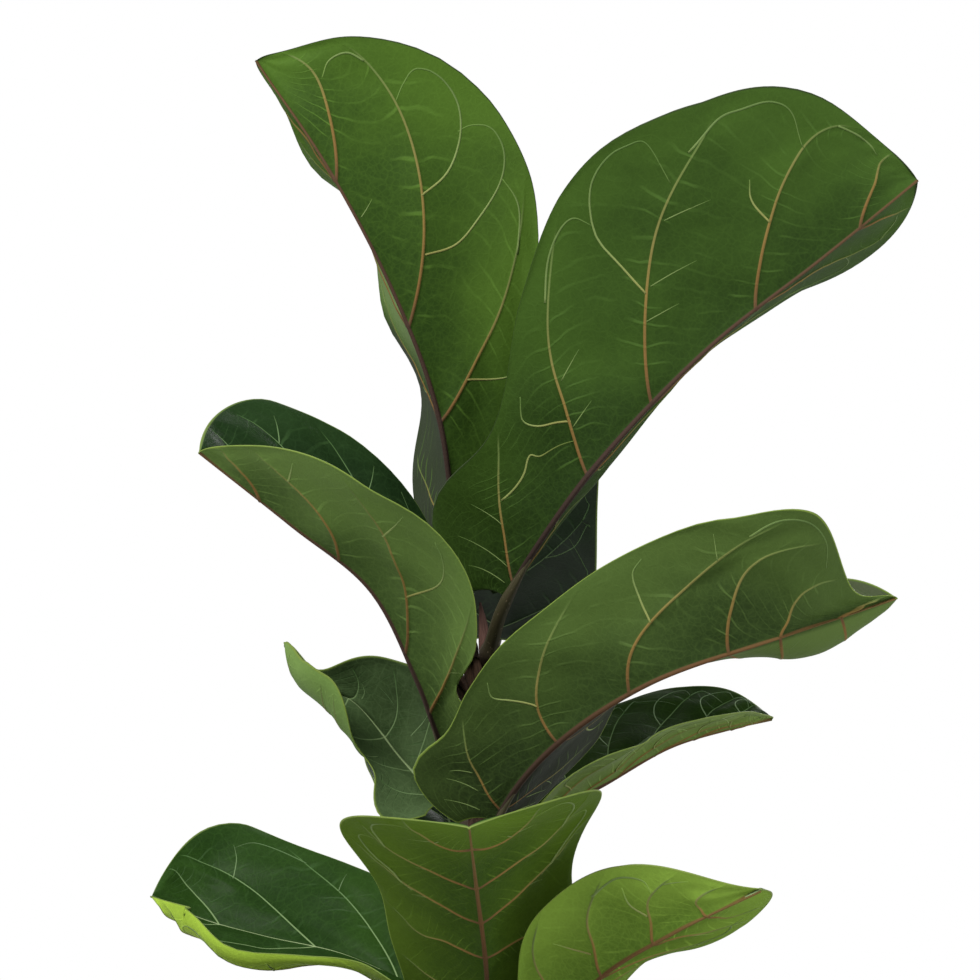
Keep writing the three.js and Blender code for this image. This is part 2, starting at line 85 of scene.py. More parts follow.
# Each side vein is the row that it passes at the midrib, at a third and two thirds of the half
# width, and at the edge. Each branch is a path of rows and shares of the half width, and one of
# two points is a thin pale rung. All are in hundredths.
PLAIN_VEINS = [[5, 7, 10, 13], [22, 24, 26, 28], [39, 42, 47, 52], [56, 61, 68, 75],
               [72, 77, 83, 88], [86, 89, 92, 95]]
VEINS = {
    "leaf_01": [[5, 8, 11, 14], [27, 31, 34, 42], [45, 55.5, 69, 86], [74, 82, 88, 95]],
    "leaf_02": [[3, 8, 11.5, 15.5], [26, 28, 29, 37], [42, 47.5, 52.5, 64],
                [65, 70.5, 78.5, 92], [87, 91.5, 93.5, 96.5]],
    "leaf_04": [[4, 6, 8, 12], [15, 19.5, 23.5, 27], [31, 43.5, 50.5, 60], [59, 63.5, 76, 86],
                [82, 87, 92, 95]],
    "leaf_05": [[3.5, 6, 8, 11.5], [26, 24, 26, 31], [44, 45.5, 55, 60], [64, 62, 61, 66],
                [74, 71.5, 68.5, 71.5], [87, 88, 90, 93]],
    "leaf_06": [[6, 8, 10, 12], [24, 24, 25, 27], [44, 41, 41, 41], [66, 59, 53, 50],
                [82, 82, 84, 88]],
    "leaf_09": [[3, 6, 10, 16], [15, 26, 37, 56], [45, 63, 82, 93], [78, 87, 92, 97]],
    "leaf_10": [[6, 8, 10, 13], [24, 25, 25, 28], [43, 42, 40, 42], [57.5, 57.5, 55, 57],
                [73, 71.5, 69, 72], [87, 84, 80, 84]],
    "leaf_11": [[12, 12, 13, 16], [30, 26, 23, 23], [48, 43, 36, 37], [61, 58, 55, 60],
                [74, 70, 67, 74], [91, 85, 86, 90]],
}
BRANCHES = {
    "leaf_01": [
        [(30, 26), (26.5, 45), (24, 62), (23, 75)], [(36, 78), (40, 86), (45.5, 83)],
        [(52, 25), (48, 43), (46.5, 61), (45.5, 81), (47, 91), (51, 92), (55, 85), (57, 78)],
        [(58.5, 41), (56, 59), (56, 74), (57.5, 84), (60, 90), (64, 93), (68, 90), (69.5, 80),
         (70, 70)],
        [(78, 84), (82, 87), (85, 78), (85.5, 60)], [(66, 3), (66.5, 16)]],
    "leaf_02": [
        [(10.5, 53), (15, 49), (17.5, 50), (20, 37), (27, 19)], [(8.5, 38), (7, 71)],
        [(4.5, 12), (3, 70)], [(2, 8), (1, 61)], [(28, 27), (22, 47), (19, 67), (20, 77)],
        [(29, 45), (34, 44)], [(28, 24), (33, 23)],
        [(30, 78), (32, 87), (35, 89), (38, 86), (41, 76)],
        [(48, 38), (45, 53), (42, 68), (41, 79), (41, 90), (43, 95), (46, 95), (49, 92), (53, 73)],
        [(52, 60), (60, 59)], [(49, 39), (57, 37)], [(47, 28), (53, 25)],
        [(56, 82), (62, 91), (67, 92), (73, 93), (77, 87), (79, 68)],
        [(71, 36), (68, 50), (68, 60)], [(86, 86), (91, 87), (93, 77)]],
    "leaf_04": [
        [(74, 62), (73, 74), (72, 86)], [(49, 56), (46, 71), (43, 88)],
        [(41, 27), (37, 50), (35, 67), (35, 81), (36.5, 91)], [(21, 45), (18, 70)]],
    "leaf_05": [
        [(6, 48), (4, 66)], [(4, 30), (3, 65)], [(1, 26), (1, 75)],
        [(24, 36), (19, 56), (16, 73), (16, 87)], [(47, 40), (43, 59), (39, 81), (39, 90)],
        [(55, 67), (50, 89)], [(57, 82), (58, 92), (61, 95), (65, 95), (68, 88)]],
    "leaf_06": [
        [(30, 30), (27, 48), (26, 66)], [(56, 34), (53, 50), (52, 64)], [(42, 50), (46, 66)]],
    "leaf_09": [
        [(74, 50), (72, 67), (72, 82)], [(36, 64), (34, 75), (32, 87)],
        [(45, 83), (54, 86), (64, 85), (72, 78)]],
    "leaf_10": [
        [(56.5, 27), (51, 43), (46, 61)], [(70, 45), (65, 60), (62, 80)],
        [(55, 80), (60, 90), (66, 86), (69, 74)], [(70, 83), (75, 90)]],
    "leaf_11": [
        [(54, 55), (58, 80), (63, 88), (67, 78)], [(67, 70), (73, 84), (80, 86), (86, 70)],
        [(70, 35), (64, 50)], [(86, 40), (78, 60)], [(57, 40), (50, 60)]],
}
# Generic forks and loops: (how far along its vein, how far ahead of that place, share), and the
# share at which a loop meets the next vein.
PLAIN_FORK = [(0.42, 0, 0.42), (0.42, -0.022, 0.58), (0.42, -0.024, 0.76), (0.5, 0, 0.89),
              (0.86, -0.03, 0.93), (0.86, -0.004, 0.84)]
PLAIN_LOOP = [(0.84, 0, 0.84), (0.86, 0.02, 0.91), (0.86, 0.05, 0.86)]
LOOP_END = 0.68


def half(width, fold, apex=0.72, wave=(2, 2.5, 0), curl=(0, 0), lip=(0, 0), relief=1, tip=0):
    """One side of a blade, from foot to tip: its width, how steeply it rises from the midrib, and
    how it curls and lips over; where it starts to round off; the height, number and phase of its
    edge's waves; the share of its relief, and how far its tip is drawn in."""
    return {"width": width, "fold": fold, "apex": apex, "wave": wave, "curl": curl, "lip": lip,
            "relief": relief, "tip": tip}


def leaf_plan(midrib, petiole, up, left, right, stout=1):
    """A leaf: its line from the stem to the tip, the length of its stalk, which way its upper face
    looks, its two sides, and how stout the stalk is."""
    return {"midrib": midrib, "petiole": petiole, "up": up, "left": left, "right": right,
            "stout": stout}


LEAVES = {
    "leaf_01": leaf_plan(
        [[-7, 5, 625], [-15, -4, 677], [-24, -16, 748], [-46, -26, 810], [-81, -34, 877],
         [-119, -31, 934]], 48, [[0.55, 0.8, 0.25]],
        half([52, 52, 66, 90, 88, 70], [40, 36, 36, 42, 28], 0.7, (0.5, 2.5, 0), tip=0.45),
        half([56, 66, 74, 88, 84, 74], [32, 42, 48, 54, 54, 48], 0.74, (8.5, 3, 0.3))),
    "leaf_02": leaf_plan(
        [[-1, -4, 625], [12, -38, 661], [52, -65, 719], [109, -80, 779], [167, -83, 825],
         [218, -72, 867]], 46, [[-0.47, 0.74, 0.47]],
        half([30, 42, 56, 88, 97, 102], [44, 42, 46, 48, 46, 32], 0.75, (1.5, 2.5, 0)),
        half([76, 54, 84, 112, 102, 110], [70, 36, 24], wave=(1.5, 2.5, 0.1), tip=0.3), 1.4),
    "leaf_03": leaf_plan(
        [[1, 5, 624], [7, 35, 644], [11, 75, 680], [12, 110, 725], [11, 135, 770],
         [9, 145, 807]], 24, [[0, -0.8, 0.6]],
        half([46, 48, 48, 50, 50, 48], [14, 20, 20]),
        half([50, 50, 50, 52, 52, 50], [14, 20, 20])),
    "leaf_04": leaf_plan(
        [[-6, -3, 550], [-21, -27, 576], [-34.5, -48, 613], [-58, -69, 659.5], [-98, -87, 692],
         [-143, -106, 727]], 32, [[0.67, -0.12, 0.73]],
        half([34, 31, 21, 46, 58, 64, 68, 67, 64, 56, 44], [44, 44, 42], 0.7),
        half([36, 42, 60, 72, 81, 81, 84], [22, 32, 36, 32, 14], 0.86, (0.5, 2.5, 0))),
    "leaf_05": leaf_plan(
        [[-1, -6, 514], [8, -44, 549], [36, -84, 583], [82, -111, 613], [145, -116, 635],
         [205, -86, 655]], 42, [[-0.3, 0.65, 0.7], [-0.23, 0.6, 0.75], [0, 0.7, 0.6]],
        half([64, 60, 58, 64, 70, 70, 70, 68], [30, 30, 38, 48, 56, 60, 58, 80], 0.93,
             (0.5, 2.5, 0.1), [10, 10, 10, 20, 50, 115, 175, 200], relief=0.2),
        half([66, 46, 50, 56, 58, 62, 66, 70, 68, 14, 6], [45, 45, 45, 40, 10, 30], 0.8,
             (0.5, 2.5, 0), [0, 0, 5, 10, 10, 5])),
    "leaf_06": leaf_plan(
        [[-6, 4, 536], [-24, 38, 551], [-46, 71, 574], [-70, 87, 603], [-95, 93, 616],
         [-109, 94, 636]], 42, [[0, -0.95, 0.3]],
        half([42, 29, 49, 63, 58, 40], [18, 46, 66, 78, 84, 90], 0.76, (0.5, 2.5, 0.1),
             [0, 30, 70, 110, 115, 105], relief=0.2),
        half([44, 54, 50, 35, 12, 12], [26, 34, 38, 56, 66], 0.64, (0.5, 2.5, 0))),
    "leaf_07": leaf_plan(
        [[0, 5, 522], [32, 35, 546], [61, 67, 560], [98, 95, 580], [132, 114, 590],
         [155, 122, 595]], 38, [[-0.3, 0, 0.95]],
        half([44, 46, 50, 54, 56, 56], [36, 36, 34, 36], wave=(1, 2.5, 0)),
        half([44, 54, 52, 48, 40, 24], [26, 18, 18, 12, 9, 9], wave=(0.5, 2.5, 0))),
    "leaf_08": leaf_plan(
        [[-4, 6, 492], [-12, 48, 516], [-22, 98, 545], [-28, 142, 566], [-30, 180, 576]],
        36, [[0, -0.5, 0.87]],
        half([38, 38, 40, 42, 40], [20, 20]), half([40, 42, 46, 50, 48], [20, 20])),
    "leaf_09": leaf_plan(
        [[-8, 4, 424], [-30, 24, 449], [-74, 52, 470], [-119, 78, 479], [-154, 91, 488],
         [-180, 88, 500]], 34, [[0.3, -0.35, 0.88]],
        half([54, 40, 44, 60, 58, 70], [16, 6, -14, 2, 0], 0.8, lip=[40, 70, 95, 125, 145]),
        half([50, 50, 50, 56, 62, 64], [40, 46, 36], 0.82, (0.5, 2.5, 0))),
    "leaf_10": leaf_plan(
        [[3, -5, 376], [18, -58, 402], [34, -112, 437], [54, -159, 469], [91, -195, 494],
         [129.5, -221, 514]], 50, [[-0.3, 0.62, 0.72]],
        half([44, 44, 48, 52, 50, 42], [34, 34, 28, 20, 17, 19], 0.74, (0.5, 2.5, 0.05)),
        half([30, 34, 28, 45.5, 42, 6], [22, 33, 34], 0.79, (0.5, 2.5, 0.35))),
    "leaf_11": leaf_plan(
        [[-2, -6, 388], [0, -59, 422], [0, -133, 469], [-5, -207, 516], [-8, -263, 544]],
        48, [[0, 0.6, 0.8]],
        half([50, 48, 51, 54, 73, 84], [22, 26, 36, 22], 0.74, (0.5, 2.5, 0)),
        half([54, 46, 54, 57, 71, 78], [24, 28, 26, 14], 0.73, (1, 2.5, 0))),
}

# The older leaves, arched outward: the height of the foot, the bearing about the stem, how far
# out the tip is, how high the arch rises, how far the tip droops, and the blade's size.
LOWER_LEAVES = [
    (368, 58, 230, 48, 20, 0.86), (350, 200, 235, 52, 25, 0.88), (332, 330, 240, 50, 25, 0.92),
    (312, 112, 248, 50, 30, 0.95), (292, 250, 250, 48, 30, 0.95), (272, 25, 250, 44, 36, 1),
    (250, 160, 250, 40, 40, 1), (228, 300, 250, 36, 44, 1),
]
FIRST_LOWER_LEAF = 12
FIRST_SEED = 100
ARCH_OUT = [0, 0.2, 0.45, 0.7, 0.88, 1]
ARCH_HEIGHT = [0, 0.5, 1, 0.95, 0.6, 0.6]
LOWER_HALF_WIDTHS = [56, 54, 66, 88, 94, 88]
LOWER_FOLDS = {"left": [26, 24, 20, 14], "right": [22, 24, 22, 16]}
LOWER_LEAN = 0.3
LOWER_PETIOLE = 42

# Dried scales left round the stem: height, bearing, length, half spread and how far out the
# tip curls.
STIPULES = [
    (612, 250, 34, 62, 5), (604, 80, 38, 62, 7), (606, 195, 46, 70, 6), (602, 350, 44, 66, 7),
    (578, 200, 52, 70, 18), (584, 232, 64, 74, 12), (586, 320, 27, 55, 8),
    (560, 150, 24, 60, 7), (545, 20, 26, 56, 8), (530, 240, 22, 58, 6), (520, 110, 24, 54, 8),
    (500, 300, 20, 58, 7), (470, 190, 20, 52, 9), (430, 40, 18, 55, 8), (395, 260, 16, 52, 8),
]

# Where the grid lines lie between two side veins, between the last one and the tip, and from the
# midrib to the edge.
SPREAD = [0, 0.014, 0.03, 0.05, 0.075, 0.105, 0.145, 0.19, 0.25, 0.32, 0.4, 0.5,
          0.6, 0.68, 0.75, 0.81, 0.855, 0.895, 0.925, 0.95, 0.97, 0.986]
TIP_SPREAD = SPREAD[:11] + [0.48, 0.56, 0.64, 0.71, 0.77, 0.82, 0.865, 0.9, 0.93, 0.953, 0.971,
                            0.985, 0.995]
SHARES = [0, 0.004, 0.009, 0.016, 0.025, 0.036, 0.05, 0.068, 0.09, 0.115,
          *np.linspace(0.145, 0.965, 31), 0.985, 0.995, 1]


# -------------------- curves and meshes

def profile(values, t):
    """A smooth curve through evenly spaced values, read at t from 0 to 1."""
    values = np.asarray(values, float)
    last = len(values) - 1
    if last == 0:
        return np.broadcast_to(values[0], np.shape(t) + values.shape[1:])
    x = np.clip(t, 0, 1) * last
    i = np.minimum(x.astype(int), last - 1)
    f = x - i
    if values.ndim > 1:
        f = f[..., None]
    run = np.concatenate([2 * values[:1] - values[1:2], values, 2 * values[-1:] - values[-2:-1]])
    a, b, c, d = run[i], run[i + 1], run[i + 2], run[i + 3]
    smooth = (2 * a - 5 * b + 4 * c - d) * f ** 2 + (3 * b - a - 3 * c + d) * f ** 3
    return 0.5 * (2 * b + (c - a) * f + smooth)


def unit(vectors):
    return vectors / np.maximum(np.linalg.norm(vectors, axis=-1, keepdims=True), 1e-9)


def between(start, end, share):
    return start + (end - start) * share


def ease(x, start, end):
    """From 0 at start to 1 at end, smoothly."""
    q = np.clip((x - start) / (end - start), 0, 1)
    return q * q * (3 - 2 * q)


def run_along(points, axis):
    """The length covered along an axis of a grid of points."""
    steps = np.linalg.norm(np.diff(points, axis=axis), axis=-1)
    start = np.zeros_like(np.take(steps, [0], axis=axis))
    return np.concatenate([start, np.cumsum(steps, axis=axis)], axis=axis)


class Line:
    """A smooth line through points, read by the length along it."""

    def __init__(self, points):
        self.points = profile(points, np.linspace(0, 1, LINE_STEPS))
        self.run = run_along(self.points, 0)
        self.length = self.run[-1]
        self.tangents = unit(np.gradient(self.points, axis=0))

    def read(self, values, along):
        return np.stack([np.interp(along, self.run, values[:, k]) for k in range(3)], -1)

    def at(self, along):
        return self.read(self.points, along)

    def tangent(self, along):
        return unit(self.read(self.tangents, along))


def lattice(x, y, cell, seed, wrap=LATTICE):
    """Smooth seeded noise from -1 to 1 over a plane, with one bump to a cell. Its x starts again
    after wrap cells."""
    table = np.random.default_rng(seed).uniform(-1, 1, (LATTICE, LATTICE))
    x = np.asarray(x) / cell
    y = np.asarray(y) / cell
    i = np.floor(x).astype(int)
    j = np.floor(y).astype(int)
    u = ease(x - i, 0, 1)
    v = ease(y - j, 0, 1)
    near, far = i % wrap, (i + 1) % wrap
    low, high = j % LATTICE, (j + 1) % LATTICE
    a = table[near, low] * (1 - u) + table[far, low] * u
    b = table[near, high] * (1 - u) + table[far, high] * u
    return a * (1 - v) + b * v


def circle(sides):
    return np.arange(sides) * 2 * np.pi / sides


def ring_at(radius, z, sides):
    turn = circle(sides)
    return np.stack([radius * np.cos(turn), radius * np.sin(turn), z + 0 * turn], -1)


def grid_faces(rows, columns, first=0, closed=False):
    """The quads of a grid of points, closed round its columns or not."""
    i, j = np.meshgrid(np.arange(rows - 1), np.arange(columns - (not closed)), indexing="ij")
    a = i * columns + j
    b = i * columns + (j + 1) % columns
    return (first + np.stack([a, b, b + columns, a + columns], -1)).reshape(-1, 4)


def tube_points(line, along, radii, up, sides):
    """Rings of points round a line: radii has one value for each ring and side."""
    tangent = line.tangent(along)
    lift = unit(up - tangent * (up * tangent).sum(-1, keepdims=True))
    side = np.cross(tangent, lift)
    turn = circle(sides)
    ring = side[:, None] * np.cos(turn)[:, None] + lift[:, None] * np.sin(turn)[:, None]
    return line.at(along)[:, None] + ring * radii[..., None]


def tube_faces(rings, sides, first=0):
    """The faces of a tube with both its ends closed."""
    ring = np.arange(sides)
    return grid_faces(rings, sides, first, closed=True).tolist() + [
        (first + ring[::-1]).tolist(), (first + (rings - 1) * sides + ring).tolist()]


def pairs_of(a, b):
    """A grid's pairs of numbers, one pair to a point."""
    return np.stack([a, b], -1).reshape(-1, 2)


def make_piece(name, points, faces, finishes, maps=None, finish_of_face=None, smooth=True):
    """A mesh of points in mm. maps holds one pair of numbers for each point."""
    mesh = bpy.data.meshes.new(name)
    mesh.from_pydata((np.reshape(points, (-1, 3)) * MM).tolist(), [], faces)
    corners = np.zeros(len(mesh.loops), np.int32)
    mesh.loops.foreach_get("vertex_index", corners)
    for key, pairs in (maps or {}).items():
        layer = mesh.uv_layers.new(name=key)
        layer.data.foreach_set("uv", np.asarray(pairs, np.float32)[corners].ravel())
    for finish in finishes:
        mesh.materials.append(finish.material)
    if finish_of_face is not None:
        mesh.polygons.foreach_set("material_index", finish_of_face)
    mesh.polygons.foreach_set("use_smooth", [smooth] * len(mesh.polygons))
    mesh.update()
    piece = bpy.data.objects.new(name, mesh)
    bpy.context.scene.collection.objects.link(piece)
    return piece


def belongs(piece, slot, *nodes):
    """The piece rides on the one body and stands for nodes; slot is not used."""
    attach(piece, "root")
    if nodes:
        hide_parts(*nodes)


# -------------------- finishes

class Term:
    """A number that varies over a surface, used in sums as any number is."""

    def __init__(self, finish, socket):
        self.finish = finish
        self.socket = socket

    def __add__(self, other):
        return self.finish.maths("ADD", self, other)

    def __sub__(self, other):
        return self.finish.maths("SUBTRACT", self, other)

    def __rsub__(self, other):
        return self.finish.maths("SUBTRACT", other, self)

    def __mul__(self, other):
        return self.finish.maths("MULTIPLY", self, other)

    def __abs__(self):
        return self.finish.maths("ABSOLUTE", self)

    __radd__ = __add__
    __rmul__ = __mul__


class Finish:
    """A procedural material. Its constants are set on the shader's own sockets."""

    def __init__(self, name, gloss):
        self.material = bpy.data.materials.new(name)
        self.material.use_nodes = True
        self.tree = self.material.node_tree
        self.shader = self.tree.nodes["Principled BSDF"]
        self.shader.inputs["Specular IOR Level"].default_value = gloss

    def feed(self, socket, value):
        if isinstance(value, Term):
            self.tree.links.new(value.socket, socket)
        elif isinstance(value, bpy.types.NodeSocket):
            self.tree.links.new(value, socket)
        elif socket.type == "RGBA":
            socket.default_value = (*value, 1)
        else:
            socket.default_value = value

    def node(self, kind, settings, inputs):
        made = self.tree.nodes.new(kind)
        for key, value in settings.items():
            setattr(made, key, value)
        for key, value in inputs.items():
            self.feed(made.inputs[key], value)
        return made

    def maths(self, operation, *values, clamp=False):
        settings = {"operation": operation, "use_clamp": clamp}
        return Term(self, self.node("ShaderNodeMath", settings, dict(enumerate(values))).outputs[0])

    def eased(self, value, start, end):
        settings = {"interpolation_type": "SMOOTHSTEP"}
        inputs = {"Value": value, "From Min": start, "From Max": end}
        return Term(self, self.node("ShaderNodeMapRange", settings, inputs).outputs[0])

    def stroke(self, distance, half_width, soft):
        """1 within half a width of a line, then falling to 0."""
        inverse = 1 / soft
        return self.maths("MULTIPLY_ADD", distance, -inverse, 1 + half_width * inverse, clamp=True)

    def layered(self, ground, *layers):
        """Colours laid over a ground in turn, each with its share."""
        for share, colour in layers:
            inputs = {0: share, 6: ground, 7: colour}
            ground = self.node("ShaderNodeMix", {"data_type": "RGBA"}, inputs).outputs[2]
        return ground

    def ramp(self, value, stops):
        made = self.node("ShaderNodeValToRGB", {}, {"Fac": value})
        elements = made.color_ramp.elements
        while len(elements) < len(stops):
            elements.new(1)
        for element, (place, colour) in zip(elements, stops):
            element.position = place
            element.color = (*colour, 1)
        return made.outputs[0]

    def parts(self, vector):
        split = self.node("ShaderNodeSeparateXYZ", {}, {0: vector})
        return [Term(self, split.outputs[k]) for k in range(3)]

    def pair(self, name):
        """The two numbers of one of the mesh's maps."""
        return self.parts(self.node("ShaderNodeUVMap", {"uv_map": name}, {}).outputs[0])[:2]

    def place(self):
        """Where a point is on the object, in metres."""
        return self.node("ShaderNodeTexCoord", {}, {}).outputs["Object"]

    def stretched(self, where, factors):
        inputs = {0: where, 1: factors}
        return self.node("ShaderNodeVectorMath", {"operation": "MULTIPLY"}, inputs).outputs[0]

    def joined(self, x, y):
        return self.node("ShaderNodeCombineXYZ", {}, {0: x, 1: y}).outputs[0]

    def noise(self, where, scale, detail, roughness=0.5):
        inputs = {"Vector": where, "Scale": scale, "Detail": detail, "Roughness": roughness}
        return Term(self, self.node("ShaderNodeTexNoise", {}, inputs).outputs[0])

    def cells(self, where, scale, feature="F1"):
        inputs = {"Vector": where, "Scale": scale}
        made = self.node("ShaderNodeTexVoronoi", {"feature": feature}, inputs)
        return Term(self, made.outputs["Distance"])

    def end(self, colour, rough, height=None, strength=0, distance=0):
        """Feeds the shader. A height becomes a bump of so many metres."""
        self.feed(self.shader.inputs["Base Color"], colour)
        self.feed(self.shader.inputs["Roughness"], rough)
        if height is not None:
            inputs = {"Strength": strength, "Distance": distance, "Height": height}
            bump = self.node("ShaderNodeBump", {}, inputs).outputs[0]
            self.feed(self.shader.inputs["Normal"], bump)
        return self


def shaded(colour, factor, lift=0):
    return tuple(c * factor + lift for c in colour)


def vein_marks(finish, leaf, midrib, side_vein):
    """Masks of the ribs and of the finer veins, from the maps that a blade carries. midrib and
    side_vein are half widths in millimetres where the ribs start."""
    t, v = finish.pair("grid")
    beside, middle = finish.pair("ribs")
    edge, row = finish.pair("edge")
    share = abs(v)
    where = finish.place()
    bend = finish.noise(where, 30, 2) - 0.5
    width = leaf["half_width"]
    cell = finish.maths("FRACT", t)
    number = t - cell
    rung_place = share * (width / RUNG["spacing"]) + cell * (width * RUNG["slant"])
    rung_place = rung_place + bend * RUNG["bend"] + number * RUNG["shift"]
    rung_place = rung_place + finish.maths("SIGN", v) * RUNG["side_shift"]
    rung = finish.stroke(abs(finish.maths("FRACT", rung_place) - 0.5), 0.035, 0.06)
    to_side = abs(cell - 0.5) * 2
    patchy = finish.eased(finish.noise(where, 70, 1), 0.36, 0.6)
    rung = rung * (finish.eased(to_side, 0.2, 0.9) * 0.6 + 0.25) * patchy
    rung = rung * finish.eased(share, 0.04, 0.12) * finish.eased(share, 0.95, 0.8)
    side = finish.stroke(beside - (1 - share * 0.62) * (side_vein / CM), 0, 0.03)
    return {"share": share, "beyond": v, "row": row, "edge": edge, "where": where, "rung": rung,
            "net": finish.stroke(finish.cells(where, 120, "DISTANCE_TO_EDGE"), 0, 0.07),
            "mesh": finish.stroke(finish.cells(where, 330, "DISTANCE_TO_EDGE"), 0, 0.16),
            "rib": finish.stroke(middle - (1 - row * 0.7) * (midrib / CM), 0, 0.05),
            "side": side * finish.eased(share, 0.93, 0.84)}


# The colours of a side vein from the midrib to the edge, on the lower and on the upper face.
UNDER_VEIN = [(0, (0.11, 0.06, 0.03)), (0.12, (0.2, 0.11, 0.035)), (0.35, (0.24, 0.16, 0.045)),
              (0.55, (0.22, 0.2, 0.06)), (0.8, (0.14, 0.2, 0.055)), (1, (0.09, 0.15, 0.035))]
UNDER_BRANCH_VEIN = [(0, (0.22, 0.17, 0.05)), (0.35, (0.3, 0.3, 0.09)),
                     (0.65, (0.26, 0.34, 0.11)), (0.95, (0.12, 0.2, 0.055))]
UPPER_VEIN = [(0, (0.28, 0.4, 0.18)), (0.5, (0.21, 0.33, 0.14)), (0.9, (0.08, 0.17, 0.05))]


def branch_finish(name, stops, gloss, faded):
    """The thin branches of the veins, coloured as the vein that they leave and then faded."""
    finish = Finish(name, gloss)
    share, along = finish.pair("grid")
    spots = finish.noise(finish.place(), 260, 3)
    colour = finish.layered(finish.ramp(share, stops), (spots * 0.25, (0.07, 0.1, 0.03)),
                            (finish.eased(along, 0.45, 1) * 0.75, faded))
    return finish.end(colour, 0.5 + spots * 0.1, spots, 0.3, 0.0003)


def under_finish(name, leaf, look):
    """The lower face: matt green, brown ribs that turn yellow-green, faint rungs and net, with
    painted shade in blotches, toward the midrib and toward the blade's foot.
    """
    finish = Finish(name, 0.1)
    light, dark = look["under"]
    paler = shaded(light, 1.6, 0.006)
    marks = vein_marks(finish, leaf, midrib=1.35, side_vein=0.68)
    where, row, share = marks["where"], marks["row"], marks["share"]
    # Painted shade: broad blotches, and the darker green near the midrib that gives way to the
    # lighter green toward the edge.
    broad = finish.eased(finish.noise(where, 15, 2) * 0.8 + share * 0.5, 0.36, 0.92)
    mottle = finish.noise(where, 240, 4, 0.6)
    # Painted shade: below row 0.3 the lower face darkens toward the blade's foot.
    ground = finish.layered(
        dark, (broad, light), (finish.eased(row, 0.3, 0) * 0.6, shaded(dark, 0.4)),
        (finish.eased(row, 0.82, 1) * 0.5, paler), (mottle * 0.25, paler),
        (marks["mesh"] * 0.1, paler), (marks["net"] * 0.08, paler))
    # Painted light and shade in patches: paler greens stand for light and dark grey-greens for
    # shade, each over some rows of one half.
    for colour, side, arrive, leave in look["patches"]:
        painted_lighting = finish.eased(marks["beyond"] * side, 0, 0.06)
        painted_lighting = painted_lighting * finish.eased(row, *arrive) * finish.eased(row, *leave)
        ground = finish.layered(ground, (painted_lighting * 0.85, colour))
    rib = finish.layered(finish.ramp(row, look["rib"]),
                         (finish.noise(where, 900, 2) * 0.35, (0.05, 0.032, 0.022)))
    ground = finish.layered(
        ground, (marks["rung"] * 0.6, shaded(light, 1.7, 0.012)),
        (marks["side"], finish.ramp(share, UNDER_VEIN)), (marks["rib"], rib),
        (finish.stroke(marks["edge"], 0.04, 0.05), look["edge"]))
    height = marks["rung"] * 0.8 + marks["net"] * 0.14 + marks["mesh"] * 0.12 + mottle * 0.15
    return finish.end(ground, 0.58 + mottle * 0.12, height, 0.5, 0.0006)


def upper_finish(name, leaf, look):
    """The upper face: deep glossy green with pale yellow-green veins, and on some leaves a painted
    sheen toward the tip.
    """
    finish = Finish(name, look["gloss"])
    light, dark = look["upper"]
    paler = shaded(light, 2, 0.006)
    marks = vein_marks(finish, leaf, midrib=0.65, side_vein=0.21)
    where = marks["where"]
    mottle = finish.noise(where, 300, 4, 0.6)
    ground = finish.layered(dark, (finish.eased(finish.noise(where, 20, 2), 0.3, 0.7), light))
    # Painted sheen: a greyer colour laid over the upper face toward the tip.
    if look["tip"]:
        ground = finish.layered(ground, (finish.eased(marks["row"], 0.66, 0.86), look["tip"]))
    ground = finish.layered(
        ground, (mottle * 0.25, paler), (marks["mesh"] * 0.1, paler), (marks["net"] * 0.16, paler),
        (marks["rung"] * 0.5, (0.06, 0.13, 0.04)),
        (marks["side"] * 0.9, finish.ramp(marks["share"], UPPER_VEIN)),
        (marks["rib"], (0.36, 0.46, 0.24)),
        (finish.stroke(marks["edge"], 0.05, 0.06), (0.13, 0.2, 0.05)))
    height = mottle * 0.3 - marks["rung"] * 0.7 - marks["net"] * 0.12 - marks["mesh"] * 0.1
    return finish.end(ground, 0.36 + marks["side"] * 0.12 + mottle * 0.16, height, 0.45, 0.0006)


def speckled_finish(name, gloss, scale, first, second, rough, rougher):
    """A plain surface clouded in two colours: the thin horny edge of a blade, or painted floor."""
    finish = Finish(name, gloss)
    spots = finish.noise(finish.place(), scale, 3)
    return finish.end(finish.layered(first, (spots, second)), rough + spots * rougher)


def stalk_finish():
    """A petiole: brown-green, streaked along its length and speckled."""
    finish = Finish("leaf_stalk", 0.35)
    along, around = finish.pair("grid")
    streaks = finish.noise(finish.joined(along * 0.6, around * 7), 1.4, 3)
    specks = finish.stroke(finish.cells(finish.joined(along * 3, around * 14), 1), 0.12, 0.1)
    colour = finish.layered(
        (0.045, 0.034, 0.02), (streaks, (0.09, 0.085, 0.035)),
        (finish.eased(along, 2.2, 0), (0.045, 0.03, 0.02)), (specks * 0.6, (0.26, 0.2, 0.12)))
    return finish.end(colour, 0.5 + streaks * 0.2, streaks * 0.6 + specks * 0.6, 0.5, 0.0007)


